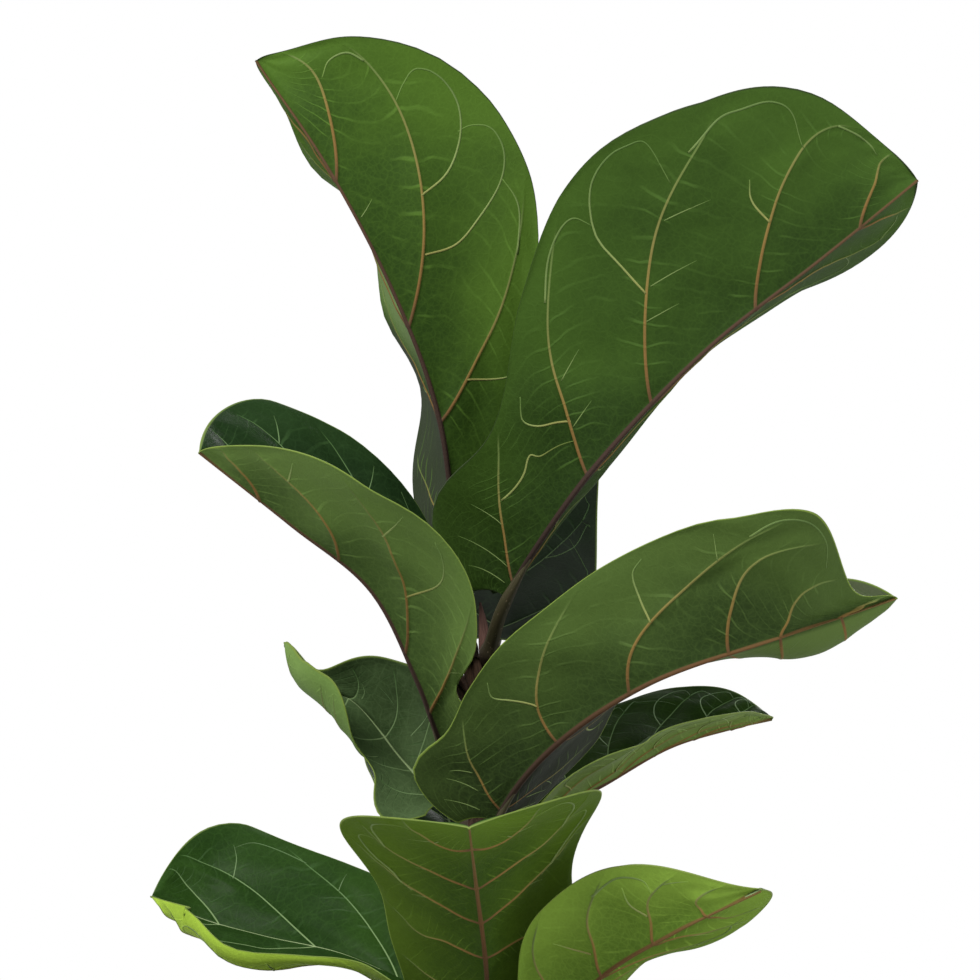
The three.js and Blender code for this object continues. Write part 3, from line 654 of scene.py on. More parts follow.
def bark_finish():
    """The stem: grey-brown cork low down, olive-brown young bark above, with pale lenticels."""
    finish = Finish("stem_bark", 0.3)
    along, around = finish.pair("grid")
    height = finish.parts(finish.place())[2]
    grain = finish.noise(finish.joined(along * 0.35, around * 9), 2, 5, 0.65)
    cork = finish.ramp(grain, [
        (0.25, (0.085, 0.06, 0.042)), (0.5, (0.19, 0.145, 0.1)), (0.75, (0.33, 0.28, 0.21))])
    green = finish.ramp(grain, [
        (0.25, (0.07, 0.06, 0.03)), (0.5, (0.125, 0.115, 0.055)), (0.75, (0.2, 0.17, 0.09))])
    spots = finish.stroke(finish.cells(finish.joined(along * 2.6, around * 11), 1), 0.13, 0.1)
    scar = finish.pair("scars")[0]
    colour = finish.layered(
        cork, (finish.eased(height + grain * 0.08, 0.33, 0.6), green),
        (spots * 0.75, (0.36, 0.29, 0.19)),
        (finish.stroke(scar, 0.06, 0.12) * 0.7, (0.07, 0.05, 0.035)))
    return finish.end(colour, 0.72 + grain * 0.18, grain * 0.8 + spots * 0.5, 0.8, 0.0012)


def sheath_finish(name, deep, pale):
    """A papery scale, streaked along its length."""
    finish = Finish(name, 0.3)
    along, around = finish.pair("grid")
    streaks = finish.noise(finish.joined(along * 0.5, around * 12), 1.5, 4, 0.6)
    patches = finish.noise(finish.place(), 160, 3)
    colour = finish.layered(deep, (finish.eased(streaks, 0.3, 0.7), pale), (patches * 0.4, deep))
    return finish.end(colour, 0.55 + streaks * 0.25, streaks, 0.7, 0.0006)


def soil_finish():
    """Damp potting soil: dark peat with paler fibres and grit."""
    finish = Finish("potting_soil", 0.22)
    where = finish.place()
    grain = finish.noise(where, 420, 6, 0.7)
    fibres = finish.noise(finish.stretched(where, (90, 900, 400)), 1, 3)
    peat = finish.ramp(grain, [
        (0.3, (0.012, 0.008, 0.006)), (0.52, (0.04, 0.026, 0.017)), (0.7, (0.1, 0.068, 0.045))])
    colour = finish.layered(peat, (finish.eased(fibres, 0.62, 0.72) * 0.5, (0.17, 0.115, 0.07)))
    relief = grain + finish.cells(where, 260) * 0.8
    return finish.end(colour, 0.82 + grain * 0.15, relief, 1, 0.002)


def crumb_finish(name, deep, pale, scale):
    """Loose grains on the soil, with pitted faces."""
    finish = Finish(name, 0.25)
    where = finish.place()
    grain = finish.noise(where, scale, 4, 0.65)
    colour = finish.layered(deep, (finish.eased(grain, 0.35, 0.65), pale))
    relief = grain + finish.cells(where, scale * 1.6)
    return finish.end(colour, 0.75 + grain * 0.2, relief, 0.7, 0.0008)


def pot_finish():
    """Matt black nursery plastic: fine moulded grain, faint turning lines, dust and scuffs."""
    finish = Finish("pot_plastic", 0.42)
    where = finish.place()
    height = finish.parts(where)[2]
    cloud = finish.noise(where, 26, 4, 0.6)
    scuffs = finish.noise(finish.stretched(where, (60, 60, 700)), 1, 4, 0.7)
    scuffs = finish.eased(scuffs, 0.6, 0.72)
    dust = finish.eased(cloud, 0.42, 0.75)
    splash = finish.eased(height + cloud * 0.03, 0.045, 0.008)
    colour = finish.layered(
        (0.018, 0.019, 0.02), (dust * 0.45, (0.055, 0.053, 0.048)),
        (scuffs * 0.35, (0.085, 0.084, 0.08)), (splash * 0.5, (0.09, 0.072, 0.052)))
    rough = 0.42 + dust * 0.22 + scuffs * 0.14 + splash * 0.15
    turning_lines = finish.maths("SINE", height * 3800)
    relief = finish.noise(where, 2200, 2) * 0.6 + turning_lines * 0.12 + scuffs * 0.2
    return finish.end(colour, rough, relief, 0.35, 0.0004)


# -------------------- leaves

def lower_leaf(index, foot, bearing, out, rise, droop, size):
    turn = math.radians(bearing)
    away = np.array([math.cos(turn), math.sin(turn), 0])
    midrib = [away * out * share + [0, 0, foot + rise * height]
              for share, height in zip(ARCH_OUT, ARCH_HEIGHT)]
    midrib[-1] = midrib[-1] - [0, 0, droop]
    widths = [w * size for w in LOWER_HALF_WIDTHS]
    phase = 0.3 * index
    return leaf_plan(midrib, LOWER_PETIOLE, [[-LOWER_LEAN * away[0], -LOWER_LEAN * away[1], 1]],
                     half(widths, LOWER_FOLDS["left"], wave=(3, 2.5, phase)),
                     half(widths, LOWER_FOLDS["right"], wave=(3, 2.2, phase + 0.4)))


def station_at(row, share):
    forward = BLADE["advance"] * 4 * row * (1 - row) * share ** BLADE["advance_curve"]
    return row + forward - BLADE["lobe"] * (1 - row) ** 6 * share ** 2


def half_width(side, row):
    station = station_at(row, 1)
    beyond = np.clip((station - side["apex"]) / (1 - side["apex"]), 0, 1)
    short = 1 - np.clip(row / BLADE["round_base"], 0, 1)
    base = BLADE["base_share"] + (1 - BLADE["base_share"]) * np.sqrt(1 - short ** 2)
    drawn_in = 1 - side["tip"] * np.exp(-((1 - station) / BLADE["tip_reach"]) ** 2)
    return profile(side["width"], station) * np.sqrt(1 - beyond ** 2) * base * drawn_in


def cross_section(side, station, share):
    """How far a point lies out from the midrib and up from it, as shares of the width."""
    fold, curl, lip = [np.radians(profile(side[key], station)) for key in ("fold", "curl", "lip")]
    out = 0
    up = 0
    for k in range(CROSS_STEPS):
        q = share * (k + 0.5) / CROSS_STEPS
        angle = fold + curl * (q - 0.5) + lip * q ** 4
        out = out + share * np.cos(angle) / CROSS_STEPS
        up = up + share * np.sin(angle) / CROSS_STEPS
    return out, up


def blade_points(leaf, line, rows, v):
    """The middle surface of a blade: rows is a grid, and v the share of the width it is at."""
    points = np.zeros(rows.shape + (3,))
    for key, columns, sign in (("left", v < 0, -1), ("right", v >= 0, 1)):
        row = rows[:, columns]
        share = np.broadcast_to(np.abs(v[columns]), row.shape)
        station = station_at(row, share)
        along = leaf["petiole"] + station * (line.length - leaf["petiole"])
        tangent = line.tangent(along)
        up = profile(leaf["up"], station)
        up = unit(up - tangent * (up * tangent).sum(-1, keepdims=True))
        across = np.cross(tangent, up)
        width = half_width(leaf[key], row)
        out, lift = cross_section(leaf[key], station, share)
        height, waves, phase = leaf[key]["wave"]
        ends = np.minimum(1, BLADE["wave_ends"] * row * (1 - row))
        wave = height * share ** 2 * ends * np.sin(2 * np.pi * (waves * station + phase))
        points[:, columns] = (line.at(along) + across * (sign * out * width)[..., None]
                              + up * (lift * width + wave)[..., None])
    return points


def bell(distance, half_breadth):
    """A rounded ridge: 1 on its line, 0 from half its breadth away."""
    return np.cos(np.clip(distance / half_breadth, 0, 1) * np.pi / 2) ** 1.6


def blade_mesh(leaf, line, seed):
    """Both faces and the rounded edge of a blade: points, faces, finish of each, and maps."""
    veins = leaf["veins"]
    count = len(veins)
    t = np.concatenate([i + np.array(SPREAD) for i in range(count)] + [count + np.array(TIP_SPREAD)])
    v = np.concatenate([-np.array(SHARES[:0:-1]), SHARES])
    share = np.abs(v)
    lines = np.vstack([0 * share, *[profile(vein, share) for vein in veins], 0 * share + 1])
    index = np.floor(t).astype(int)
    f = (t - index)[:, None]
    pace = np.where(index[:, None] == count, 1 - (1 - f) ** 2, f)
    pace = np.where(index[:, None] == 0, f ** 1.5, pace)
    rows = lines[index] * (1 - pace) + lines[index + 1] * pace
    middle = blade_points(leaf, line, rows, v)
    tip = blade_points(leaf, line, np.ones((1, 1)), np.zeros(1))[0]
    along = unit(np.gradient(middle, axis=0))
    out = unit(np.gradient(middle, axis=1))
    normal = unit(np.cross(out, along))
    share = np.broadcast_to(share, rows.shape)
    run = run_along(middle, 0)
    gap = np.min([np.abs(run - run[np.searchsorted(t, i)]) for i in range(1, count + 1)], axis=0)
    beside = gap * np.linalg.norm(np.cross(along, out), axis=-1)
    cross_run = run_along(middle, 1)
    centre = len(SHARES) - 1
    from_rib = np.abs(cross_run - cross_run[:, centre:centre + 1])
    to_edge = np.minimum(np.minimum(cross_run, cross_run[:, -1:] - cross_run), run)
    rib = bell(from_rib, between(*MIDRIB["half_width"], rows))
    rib = rib * between(*MIDRIB["height"], rows)
    vein = bell(beside, between(*SIDE_VEIN["half_width"], share))
    vein = vein * between(*SIDE_VEIN["height"], share) * ease(share, 1, 0.92)
    relief = np.where(v < 0, leaf["left"]["relief"], leaf["right"]["relief"])
    ribs = np.maximum(rib, vein * relief)
    lean = np.sin(np.pi * share ** BLADE["swell_lean"])
    swell = relief * BLADE["swell"] * np.sin(np.pi * f) * lean * ease(rows, 0, 0.06)
    flutter = sum(lattice(run, cross_run + shift, cell, seed + k) * height
                  for k, (cell, height, shift) in enumerate(FLUTTER))
    still = ease(to_edge, 0, BLADE["still_edge"]) * ease(from_rib, 1, BLADE["still_rib"])
    swell = swell + flutter * still
    half_thick = BLADE["thickness"] / 2
    top = middle + normal * (swell + half_thick - ribs * 0.3)[..., None]
    under = middle + normal * (swell - half_thick - ribs)[..., None]
    tip_top = tip + normal[-1, centre] * half_thick
    tip_under = tip - normal[-1, centre] * half_thick
    deep, wide = rows.shape
    size = deep * wide + 1
    ring = np.array([*range(wide), *[i * wide + wide - 1 for i in range(1, deep)], size - 1,
                     *[i * wide for i in range(deep - 1, 0, -1)]])
    outward = np.zeros((size, 3))
    away = outward[:-1].reshape(deep, wide, 3)
    away[:, 0] -= out[:, 0]
    away[:, -1] += out[:, -1]
    away[0] -= along[0]
    outward[-1] = along[-1, centre]
    both = [np.vstack([face.reshape(-1, 3), end]) for face, end in
            ((top, tip_top), (under, tip_under))]
    bead = (both[0] + both[1])[ring] / 2 + unit(outward[ring]) * BLADE["bead"]
    quads = grid_faces(deep, wide)
    last = (deep - 1) * wide
    fan = [[last + j, last + j + 1, size - 1] for j in range(wide - 1)]
    upper_faces = quads.tolist() + fan
    under_faces = (quads[:, ::-1] + size).tolist() + [[a + size for a in f3[::-1]] for f3 in fan]
    around = np.arange(len(ring))
    after = np.roll(around, -1)
    bead_now, bead_next = 2 * size + around, 2 * size + after
    top_now, top_next = ring, ring[after]
    strip = np.stack([top_next, top_now, bead_now, bead_next], -1).tolist()
    strip += np.stack([bead_next, bead_now, top_now + size, top_next + size], -1).tolist()
    kinds = [0] * len(upper_faces) + [1] * len(under_faces) + [2] * len(strip)

    def mapped(a, b, at_tip):
        one = np.vstack([pairs_of(a, b), [at_tip]])
        return np.vstack([one, one, one[ring]])

    maps = {
        "grid": mapped(*np.broadcast_arrays(t[:, None], v), (count + 1, 0)),
        "ribs": mapped(beside / CM, from_rib / CM, (2, 0)),
        "edge": mapped(to_edge / CM, rows, (0, 1)),
    }
    blade = {"rows": rows, "v": v, "top": top, "under": under, "normal": normal}
    return np.vstack([*both, bead]), upper_faces + under_faces + strip, kinds, maps, blade


def plain_branches(veins):
    """A fork and a loop for each side vein, where a leaf has no branches of its own."""
    paths = []
    for vein, following in itertools.zip_longest(veins, veins[1:]):
        fork, loop = [[(float(profile(vein, at)) + ahead, share) for at, ahead, share in plan]
                      for plan in (PLAIN_FORK, PLAIN_LOOP)]
        paths.append(fork)
        if following is not None:
            paths.append(loop + [(float(profile(following, LOOP_END)), LOOP_END)])
    return paths


def along_face(blade, face, path):
    """Places on a face of the blade along a path of (row, share) pairs, and its normals there."""
    path = profile(path, np.linspace(0, 1, BRANCH["steps"] * (len(path) - 1) + 1))
    wide, deep = len(blade["v"]), len(blade["rows"])
    column = np.interp(path[:, 1], blade["v"], np.arange(wide))
    j = np.minimum(column.astype(int), wide - 2)
    b = (column - j)[:, None]
    lines = blade["rows"][:, j].T * (1 - b) + blade["rows"][:, j + 1].T * b
    row = np.array([np.interp(p, line, np.arange(deep)) for p, line in zip(path[:, 0], lines)])
    i = np.minimum(row.astype(int), deep - 2)
    a = (row - i)[:, None]

    def read(grid):
        near = grid[i, j] * (1 - b) + grid[i, j + 1] * b
        far = grid[i + 1, j] * (1 - b) + grid[i + 1, j + 1] * b
        return near * (1 - a) + far * a

    return read(blade[face]), unit(read(blade["normal"])), np.abs(path[:, 1])


def branch_mesh(blade, paths, face):
    """The branches of the veins as low rounded threads that lie on one face of a blade."""
    sides = BRANCH["sides"]
    turn = circle(sides) + np.pi / sides
    outside = 1 if face == "top" else -1
    points, faces, pairs = [], [], []
    first = 0
    for path, mirror in itertools.product(paths, (-1, 1)):
        place, normal, share = along_face(blade, face, [(r, mirror * s) for r, s in path])
        slim = BRANCH["top_slim"] if face == "top" else 1
        if len(path) == 2:
            share = BRANCH["rung_share"] + 0 * share
            slim = slim * BRANCH["rung_slim"]
        t = np.linspace(0, 1, len(place))
        side = unit(np.cross(unit(np.gradient(place, axis=0)), normal))
        broad = slim * between(*BRANCH["half_width"], t ** 2)
        high = slim * between(*BRANCH["height"], t ** 2)
        ring = (side[:, None] * np.cos(turn)[:, None] * broad[:, None, None]
                + outside * normal[:, None] * np.sin(turn)[:, None] * high[:, None, None])
        points.append((place[:, None] + ring).reshape(-1, 3))
        faces += tube_faces(len(place), sides, first)
        pairs.append(np.repeat(np.stack([share, t], -1), sides, axis=0))
        first += len(place) * sides
    return np.vstack(points), faces, np.vstack(pairs)


def petiole_mesh(leaf, line):
    """The stalk, swollen where it leaves the stem and running out under the midrib."""
    sides = PETIOLE["sides"]
    along = np.linspace(0, leaf["petiole"] + PETIOLE["reach"], PETIOLE["rings"])
    neck = np.clip(along / leaf["petiole"], 0, 1) ** 0.5
    stout = leaf["stout"]
    radius = stout * between(PETIOLE["foot"], PETIOLE["neck"], neck)
    beyond = np.clip((along - leaf["petiole"]) / PETIOLE["reach"], 0, 1)
    radius = radius + (PETIOLE["end"] - PETIOLE["neck"] * stout) * beyond
    collar = np.exp(-((along - PETIOLE["collar_at"]) / PETIOLE["collar_reach"]) ** 2)
    radius = radius + PETIOLE["collar"] * collar
    turn = circle(sides)
    groove = 1 - PETIOLE["groove"] * np.clip(np.sin(turn), 0, 1) ** 6
    groove = groove + PETIOLE["ridges"] * np.cos(5 * turn)
    up = unit(np.asarray(profile(leaf["up"], np.zeros(1)), float))
    points = tube_points(line, along, radius[:, None] * groove, up, sides) - up * PETIOLE["drop"]
    pairs = pairs_of(*np.meshgrid(along / CM, np.arange(sides) / sides, indexing="ij"))
    return points.reshape(-1, 3), tube_faces(PETIOLE["rings"], sides), pairs


def fig_leaf(node, leaf, seed):
    """One leaf, blade and stalk, in place of its solid."""
    line = Line(leaf["midrib"])
    leaf["veins"] = [[row / 100 for row in vein] for vein in VEINS.get(node, PLAIN_VEINS)]
    leaf["half_width"] = 0.5 * (max(leaf["left"]["width"]) + max(leaf["right"]["width"]))
    points, faces, kinds, maps, blade = blade_mesh(leaf, line, seed)
    look = LOOKS.get(node, PLAIN_LOOK)
    faded = shaded(look["under"][0], 1.5, 0.01)
    finishes = [upper_finish(node + "_upper_face", leaf, look),
                under_finish(node + "_lower_face", leaf, look), look["margin"], STALK,
                UPPER_BRANCH,
                branch_finish(node + "_lower_branch", UNDER_BRANCH_VEIN, 0.15, faded)]
    if node in BRANCHES:
        paths = [[(row / 100, share / 100) for row, share in path] for path in BRANCHES[node]]
    else:
        paths = plain_branches(leaf["veins"])
    extras = [petiole_mesh(leaf, line), branch_mesh(blade, paths, "top"),
              branch_mesh(blade, paths, "under")]
    for kind, (more, more_faces, more_map) in enumerate(extras, 3):
        faces += [[len(points) + p for p in face] for face in more_faces]
        kinds += [kind] * len(more_faces)
        points = np.vstack([points, more])
        maps["grid"] = np.vstack([maps["grid"], more_map])
        for key in ("ribs", "edge"):
            maps[key] = np.vstack([maps[key], np.ones_like(more_map)])
    belongs(make_piece("fig_" + node, points, faces, finishes, maps, kinds), "leaf", node)


BRIGHT_MARGIN, DARK_MARGIN = [
    speckled_finish("leaf_margin_" + name, 0.3, 180, first, second, 0.45, 0.1)
    for name, first, second in (("bright", (0.24, 0.33, 0.055), (0.14, 0.22, 0.04)),
                                ("dark", (0.05, 0.08, 0.02), (0.03, 0.05, 0.016)))]
STALK = stalk_finish()
UPPER_BRANCH = branch_finish("upper_branch_vein", UPPER_VEIN, 0.4, (0.06, 0.12, 0.03))

# The colours of a midrib from the foot of the blade to its tip, on the lower face.
DARK_RIB = [(0, (0.035, 0.025, 0.022)), (0.3, (0.06, 0.035, 0.028)), (0.6, (0.085, 0.045, 0.03)),
            (0.95, (0.14, 0.08, 0.035))]
WARM_RIB = [(0, (0.03, 0.022, 0.018)), (0.25, (0.07, 0.038, 0.024)), (0.6, (0.15, 0.075, 0.028)),
            (0.95, (0.19, 0.12, 0.04))]
DEEP_GREEN = ((0.022, 0.05, 0.014), (0.011, 0.028, 0.007))
FRESH_GREEN = ((0.026, 0.07, 0.012), (0.014, 0.042, 0.007))


def leaf_look(under, upper=DEEP_GREEN, gloss=0.07, tip=None, patches=(), rib=WARM_RIB,
              edge=(0.2, 0.29, 0.05), margin=BRIGHT_MARGIN):
    """A leaf's lower and upper face in their lighter and darker green, the painted sheen on the
    upper face's tip, and patches of painted light and shade on the lower face: colour, side, and the
    rows that they come in and go out at."""
    return {"under": under, "upper": upper, "gloss": gloss, "tip": tip, "patches": patches,
            "rib": rib, "edge": edge, "margin": margin}


PLAIN_LOOK = leaf_look(((0.045, 0.1, 0.012), (0.02, 0.05, 0.006)))
DARK_RIMMED = {"rib": DARK_RIB, "edge": (0.03, 0.055, 0.014), "margin": DARK_MARGIN}
# Each leaf's greens were set to how that leaf shows where it hangs, so they differ partly by the
# leaf's own tone and partly by painted light and shade; the paler yellow-green lower faces stand for
# light shining through the blade.
LOOKS = {
    # leaf_01: a patch of painted shade darkens the foot of the right half's lower face, and a patch
    # of painted light makes a pale band above it.
    "leaf_01": leaf_look(((0.06, 0.125, 0.012), (0.014, 0.038, 0.004)), patches=[
        ((0.03, 0.037, 0.025), 1, (-0.1, 0), (0.36, 0.27)),
        ((0.17, 0.26, 0.09), 1, (0.3, 0.4), (0.62, 0.52))], **DARK_RIMMED),
    "leaf_02": leaf_look(((0.041, 0.089, 0.01), (0.009, 0.024, 0.003)), **DARK_RIMMED),
    "leaf_03": leaf_look(((0.03, 0.07, 0.01), (0.018, 0.045, 0.006)),
                         ((0.016, 0.034, 0.012), (0.007, 0.016, 0.005)), 0.3),
    "leaf_04": leaf_look(((0.107, 0.18, 0.039), (0.027, 0.056, 0.011)),
                         ((0.015, 0.038, 0.01), (0.007, 0.021, 0.005)), rib=DARK_RIB),
    # leaf_05: a painted grey sheen on the upper face's tip; on the left half's lower face, painted
    # light makes it paler from row 0.5 on, and painted shade makes it near-black near its foot.
    "leaf_05": leaf_look(((0.062, 0.108, 0.021), (0.014, 0.03, 0.006)), tip=(0.13, 0.155, 0.085),
                         patches=[((0.12, 0.19, 0.045), -1, (0.5, 0.65), (2, 1)),
                                  ((0.01, 0.014, 0.007), -1, (-0.1, 0), (0.56, 0.4))]),
    "leaf_06": leaf_look(((0.15, 0.25, 0.06), (0.09, 0.16, 0.034)),
                         ((0.08, 0.13, 0.052), (0.034, 0.062, 0.02))),
    "leaf_07": leaf_look(((0.18, 0.27, 0.058), (0.11, 0.18, 0.036)),
                         ((0.019, 0.045, 0.005), (0.009, 0.025, 0.003)), 0.02),
    "leaf_08": leaf_look(((0.03, 0.07, 0.012), (0.018, 0.045, 0.008))),
    "leaf_09": leaf_look(((0.3, 0.45, 0.045), (0.18, 0.31, 0.028)),
                         ((0.022, 0.06, 0.008), (0.011, 0.034, 0.005))),
    "leaf_10": leaf_look(((0.17, 0.28, 0.035), (0.055, 0.11, 0.01)), FRESH_GREEN),
    "leaf_11": leaf_look(((0.075, 0.135, 0.01), (0.02, 0.05, 0.004)), FRESH_GREEN),
}


# -------------------- stem, bud and scales

NORTH = np.array([[0.0, 1.0, 0.0]])


def make_trunk(feet):
    line = Line(TRUNK_AXIS)
    soil_at = SOIL["top"] - TRUNK["foot"]
    along = np.linspace(soil_at - TRUNK["buried"], line.length, TRUNK["rings"])
    sides = TRUNK["sides"]
    radius = profile(TRUNK_RADII, along / line.length)
    radius = radius + TRUNK["flare"] * np.exp(-((along - soil_at) / TRUNK["flare_height"]) ** 2)
    scars = np.array(sorted(feet) + list(np.arange(*TRUNK["old_scars"]))) - TRUNK["foot"]
    tilt = TRUNK["scar_tilt"] * np.sin(circle(sides)[None, :, None] + scars * 1.7)
    nearest = np.abs(along[:, None, None] + tilt - scars).min(-1)
    scar = TRUNK["scar"] * np.exp(-(nearest / TRUNK["scar_half_width"]) ** 2)
    up, turn = np.broadcast_arrays(along[:, None], np.arange(sides))
    cork = TRUNK["cork"] * lattice(turn, up / 2.5, 3, 5, wrap=20)
    fine = TRUNK["grain"] * lattice(turn, up, 1.5, 6, wrap=40)
    radii = radius[:, None] + scar + cork + fine
    radii[-1] *= TRUNK["top_share"]
    points = tube_points(line, along, radii, NORTH, sides)
    maps = {"grid": pairs_of(up / CM, turn / sides), "scars": pairs_of(nearest / CM, nearest / CM)}
    piece = make_piece("stem", points, tube_faces(len(along), sides), [bark_finish()], maps)
    belongs(piece, "bark", "trunk")


def make_bud():
    """The pointed sheath of the next leaf, one scale wound round another."""
    line = Line(BUD_AXIS)
    t = np.linspace(0, 1, BUD["rings"])
    turn = circle(BUD["sides"])
    radius = BUD["radius"] * np.sqrt(1.02 - t) * (1 + BUD["belly"] * np.sin(np.pi * t))
    wound = (turn[None] / (2 * np.pi) + t[:, None] * BUD["wound"]) % 1
    overlap = 0.94 + BUD["step"] * wound ** 3 + BUD["ridges"] * np.cos(9 * turn)[None]
    points = tube_points(line, t * line.length, radius[:, None] * overlap, NORTH, BUD["sides"])
    pairs = pairs_of(*np.meshgrid(t * line.length / CM, turn / (2 * np.pi), indexing="ij"))
    finish = sheath_finish("bud_scale", (0.08, 0.036, 0.028), (0.2, 0.105, 0.08))
    piece = make_piece("bud_sheath", points, tube_faces(BUD["rings"], BUD["sides"]), [finish],
                       {"grid": pairs})
    belongs(piece, "bud", "bud")


def make_stipules():
    """The dried scales, thin curled triangles with a torn edge."""
    line = Line(TRUNK_AXIS)
    rows, columns = STIPULE["rows"], STIPULE["columns"]
    size = rows * columns
    quads = grid_faces(rows, columns)
    rim = [*range(columns), *range(2 * columns - 1, size, columns),
           *range(size - 2, size - columns - 1, -1), *range(size - 2 * columns, 0, -columns)]
    u = np.linspace(0, 1, rows)[:, None]
    w = np.linspace(-1, 1, columns)[None]
    points, faces, pairs = [], [], []
    for number, (height, bearing, length, spread, curl) in enumerate(STIPULES):
        torn = 1 + STIPULE["torn"] * lattice(w * 7 + 0 * u, u * 0 + number, 1, 40 + number)
        rise = u * length * torn
        along = height - TRUNK["foot"] + rise
        radius = profile(TRUNK_RADII, along / line.length) + STIPULE["off_stem"]
        radius = radius + curl * u ** 2.2 + 0.5 * lattice(w * 3 + 0 * u, u * 3, 1, 60 + number)
        angle = np.radians(bearing + spread * w * (1 - u) ** 0.75 * (1 + 0.1 * np.sin(5 * u)))
        ring = np.stack([np.cos(angle), np.sin(angle), 0 * angle], -1)
        for offset in (STIPULE["half_thick"], -STIPULE["half_thick"]):
            points.append((line.at(along) + ring * (radius + offset)[..., None]).reshape(-1, 3))
            pairs.append(pairs_of(rise / CM, w + 0 * u))
        first = number * 2 * size
        faces += (quads[:, ::-1] + first).tolist() + (quads + first + size).tolist()
        faces += [[first + a, first + b, first + size + b, first + size + a]
                  for a, b in zip(rim, rim[1:] + rim[:1])]
    finish = sheath_finish("dry_stipule", (0.045, 0.026, 0.02), (0.19, 0.11, 0.065))
    piece = make_piece("stipules", np.vstack(points), faces, [finish], {"grid": np.vstack(pairs)})
    belongs(piece, "bud")


# -------------------- soil and pot

def inner_radius(z):
    return between(POT["foot_radius"], POT["top_radius"], z / POT["height"]) - POT["wall"]


SOIL_RADIUS = inner_radius(SOIL["top"]) - SOIL["gap"]


def soil_height(x, y):
    r = np.hypot(x, y)
    inside = np.clip((SOIL_RADIUS - r) / SOIL["level_rim"], 0, 1)
    height = SOIL["top"] + SOIL["mound"] * (1 - (r / SOIL_RADIUS) ** 2)
    rough = np.sin(x / 9) * np.cos(y / 11 + 1) * SOIL["lumps"]
    clods = sum(high * lattice(x, y, cell, seed)
                for seed, (high, cell) in enumerate(SOIL["clods"], 11))
    return height + (rough + clods) * inside


def make_soil():
    rings, sectors = SOIL["rings"], SOIL["sectors"]
    foot = POT["floor"] + SOIL["gap"]
    foot_radius = inner_radius(foot) - SOIL["gap"]
    r = SOIL_RADIUS * np.linspace(0, 1, rings)[1:]
    turn = circle(sectors)
    x = r[:, None] * np.cos(turn)
    y = r[:, None] * np.sin(turn)
    top = np.stack([x, y, soil_height(x, y)], -1)
    wall = ring_at(foot_radius, foot, sectors)
    points = np.vstack([top.reshape(-1, 3), wall, [[0, 0, soil_height(0.0, 0.0)]]])
    faces = grid_faces(rings, sectors, closed=True)[:, ::-1].tolist()
    faces += [[len(points) - 1, a, (a + 1) % sectors] for a in range(sectors)]
    faces.append([(rings - 1) * sectors + a for a in range(sectors)][::-1])
    belongs(make_piece("soil_fill", points, faces, [soil_finish()]), "soil", "soil")


def icosahedron():
    golden = (1 + 5 ** 0.5) / 2
    corners = [(a, b) for a in (-1, 1) for b in (-golden, golden)]
    points = [[a, b, 0] for a, b in corners] + [[0, a, b] for a, b in corners]
    points = unit(np.array(points + [[b, 0, a] for a, b in corners], float))
    near = np.linalg.norm(points[:, None] - points, axis=-1) < 1.2
    faces = []
    for a, b, c in itertools.combinations(range(12), 3):
        if near[a, b] and near[a, c] and near[b, c]:
            turned = np.dot(np.cross(points[b] - points[a], points[c] - points[a]), points[a])
            faces.append([a, b, c] if turned > 0 else [a, c, b])
    return points, np.array(faces)


def make_crumbs(name, finish, count, sizes, flatness, seed):
    """Loose irregular grains that lie on the soil."""
    draw = np.random.default_rng(seed)
    ball, ball_faces = icosahedron()
    inner = CRUMB["clear_of_stem"]
    outer = inner_radius(SOIL["top"]) - CRUMB["clear_of_rim"]
    points, faces = [], []
    for number in range(count):
        r = between(inner, outer, draw.uniform() ** 0.6)
        turn = draw.uniform(0, 2 * np.pi)
        size = draw.uniform(*sizes)
        long, wide = draw.uniform(*CRUMB["long"]), draw.uniform(*CRUMB["wide"])
        grain = ball * (size * np.array([long, wide, flatness]))
        grain = grain * draw.uniform(*CRUMB["jagged"], (12, 1))
        spin, tip = draw.uniform(0, 2 * np.pi), draw.normal(0, CRUMB["tilt"])
        c, s, ct, st = math.cos(spin), math.sin(spin), math.cos(tip), math.sin(tip)
        grain = grain @ np.array([[1, 0, 0], [0, ct, st], [0, -st, ct]])
        grain = grain @ np.array([[c, s, 0], [-s, c, 0], [0, 0, 1]])
        x, y = r * math.cos(turn), r * math.sin(turn)
        points.append(grain + [x, y, float(soil_height(x, y)) + CRUMB["lift"] * size * flatness])
        faces.append(ball_faces + 12 * number)
    piece = make_piece(name, np.vstack(points), np.vstack(faces).tolist(), [finish], smooth=False)
    belongs(piece, "soil")


# -------------------- the plant in its pot

all_leaves = dict(LEAVES)
for number, facts in enumerate(LOWER_LEAVES):
    all_leaves[f"leaf_{FIRST_LOWER_LEAF + number}"] = lower_leaf(number, *facts)
for number, (node, leaf) in enumerate(all_leaves.items()):
    fig_leaf(node, leaf, FIRST_SEED + 2 * number)

make_trunk([leaf["midrib"][0][2] for leaf in all_leaves.values()])
make_bud()
make_stipules()
make_soil()
PERLITE = crumb_finish("perlite_grain", (0.62, 0.6, 0.55), (0.8, 0.79, 0.76), 900)
BARK_CHIP = crumb_finish("bark_chip", (0.035, 0.02, 0.012), (0.16, 0.095, 0.055), 500)
make_crumbs("perlite", PERLITE, 150, (0.9, 2.0), 0.8, 21)
make_crumbs("bark_chips", BARK_CHIP, 420, (1.2, 4.0), 0.4, 22)

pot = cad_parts["pot"]
pot.data.materials.clear()
pot.data.materials.append(pot_finish().material)


# -------------------- floor, light and camera

FLOOR = {"radius": 2600, "thickness": 20, "sides": 96}


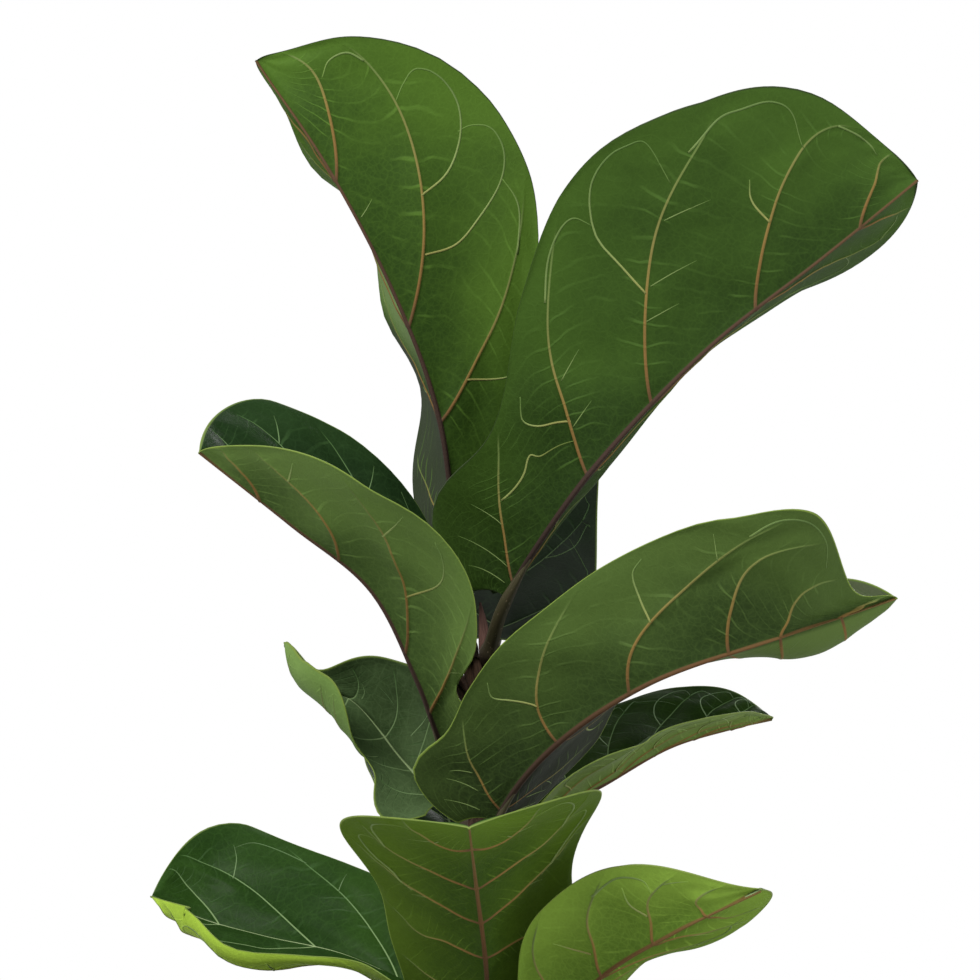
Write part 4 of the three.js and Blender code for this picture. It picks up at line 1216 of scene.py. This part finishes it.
def make_floor():
    rings = [ring_at(FLOOR["radius"], z, FLOOR["sides"]) for z in (-FLOOR["thickness"], 0)]
    paint = speckled_finish("floor_paint", 0.2, 3, (0.8, 0.8, 0.79), (0.84, 0.84, 0.83), 0.75, 0.05)
    floor = make_piece("floor", rings, tube_faces(2, FLOOR["sides"]), [paint], smooth=False)


def soft_light(name, place, aim, size, watts, tint):
    lamp = bpy.data.lights.new(name, "AREA")
    lamp.shape = "DISK"
    lamp.size = size
    lamp.energy = watts
    lamp.color = tint
    thing = bpy.data.objects.new(name, lamp)
    thing.location = place
    direction = Vector(aim) - Vector(place)
    thing.rotation_euler = direction.to_track_quat("-Z", "Y").to_euler()
    bpy.context.scene.collection.objects.link(thing)


def white_studio(ambient):
    """White behind the object, and a softer grey from all round as the light on it."""
    world = bpy.data.worlds.new("studio")
    world.use_nodes = True
    tree = world.node_tree
    back = tree.nodes["Background"]
    back.inputs["Color"].default_value = (1, 1, 1, 1)
    path = tree.nodes.new("ShaderNodeLightPath")
    strength = tree.nodes.new("ShaderNodeMapRange")
    strength.inputs["To Min"].default_value = ambient
    strength.inputs["To Max"].default_value = 1.0
    tree.links.new(path.outputs["Is Camera Ray"], strength.inputs["Value"])
    tree.links.new(strength.outputs["Result"], back.inputs["Strength"])
    bpy.context.scene.world = world


make_floor()
white_studio(0.4)
soft_light("key", (-1.3, -1.9, 2.5), (0, 0, 0.65), 1.5, 76, (1, 0.99, 0.96))
soft_light("fill", (2.2, -1.8, 0.9), (0, 0, 0.6), 1.8, 18, (0.98, 0.99, 1))
soft_light("back", (0.8, 2.2, 1.6), (0, 0, 0.6), 1.4, 16, (1, 1, 1))
bpy.context.scene.view_settings.view_transform = "Standard"

# The camera's place is in metres and its focal length in pixels of the photograph.
CAMERA = {"place": (0.0016, -2.3967, 0.5882), "pitch": 93.0, "sensor": 36.0, "focal_px": 4615.4}
PHOTO_WIDTH = 980
eye = bpy.data.cameras.new("eye")
eye.sensor_fit = "HORIZONTAL"
eye.sensor_width = CAMERA["sensor"]
eye.lens = CAMERA["sensor"] * CAMERA["focal_px"] / PHOTO_WIDTH
camera = bpy.data.objects.new("eye", eye)
camera.location = CAMERA["place"]
camera.rotation_euler = (math.radians(CAMERA["pitch"]), 0, 0)
bpy.context.scene.collection.objects.link(camera)
bpy.context.scene.camera = camera
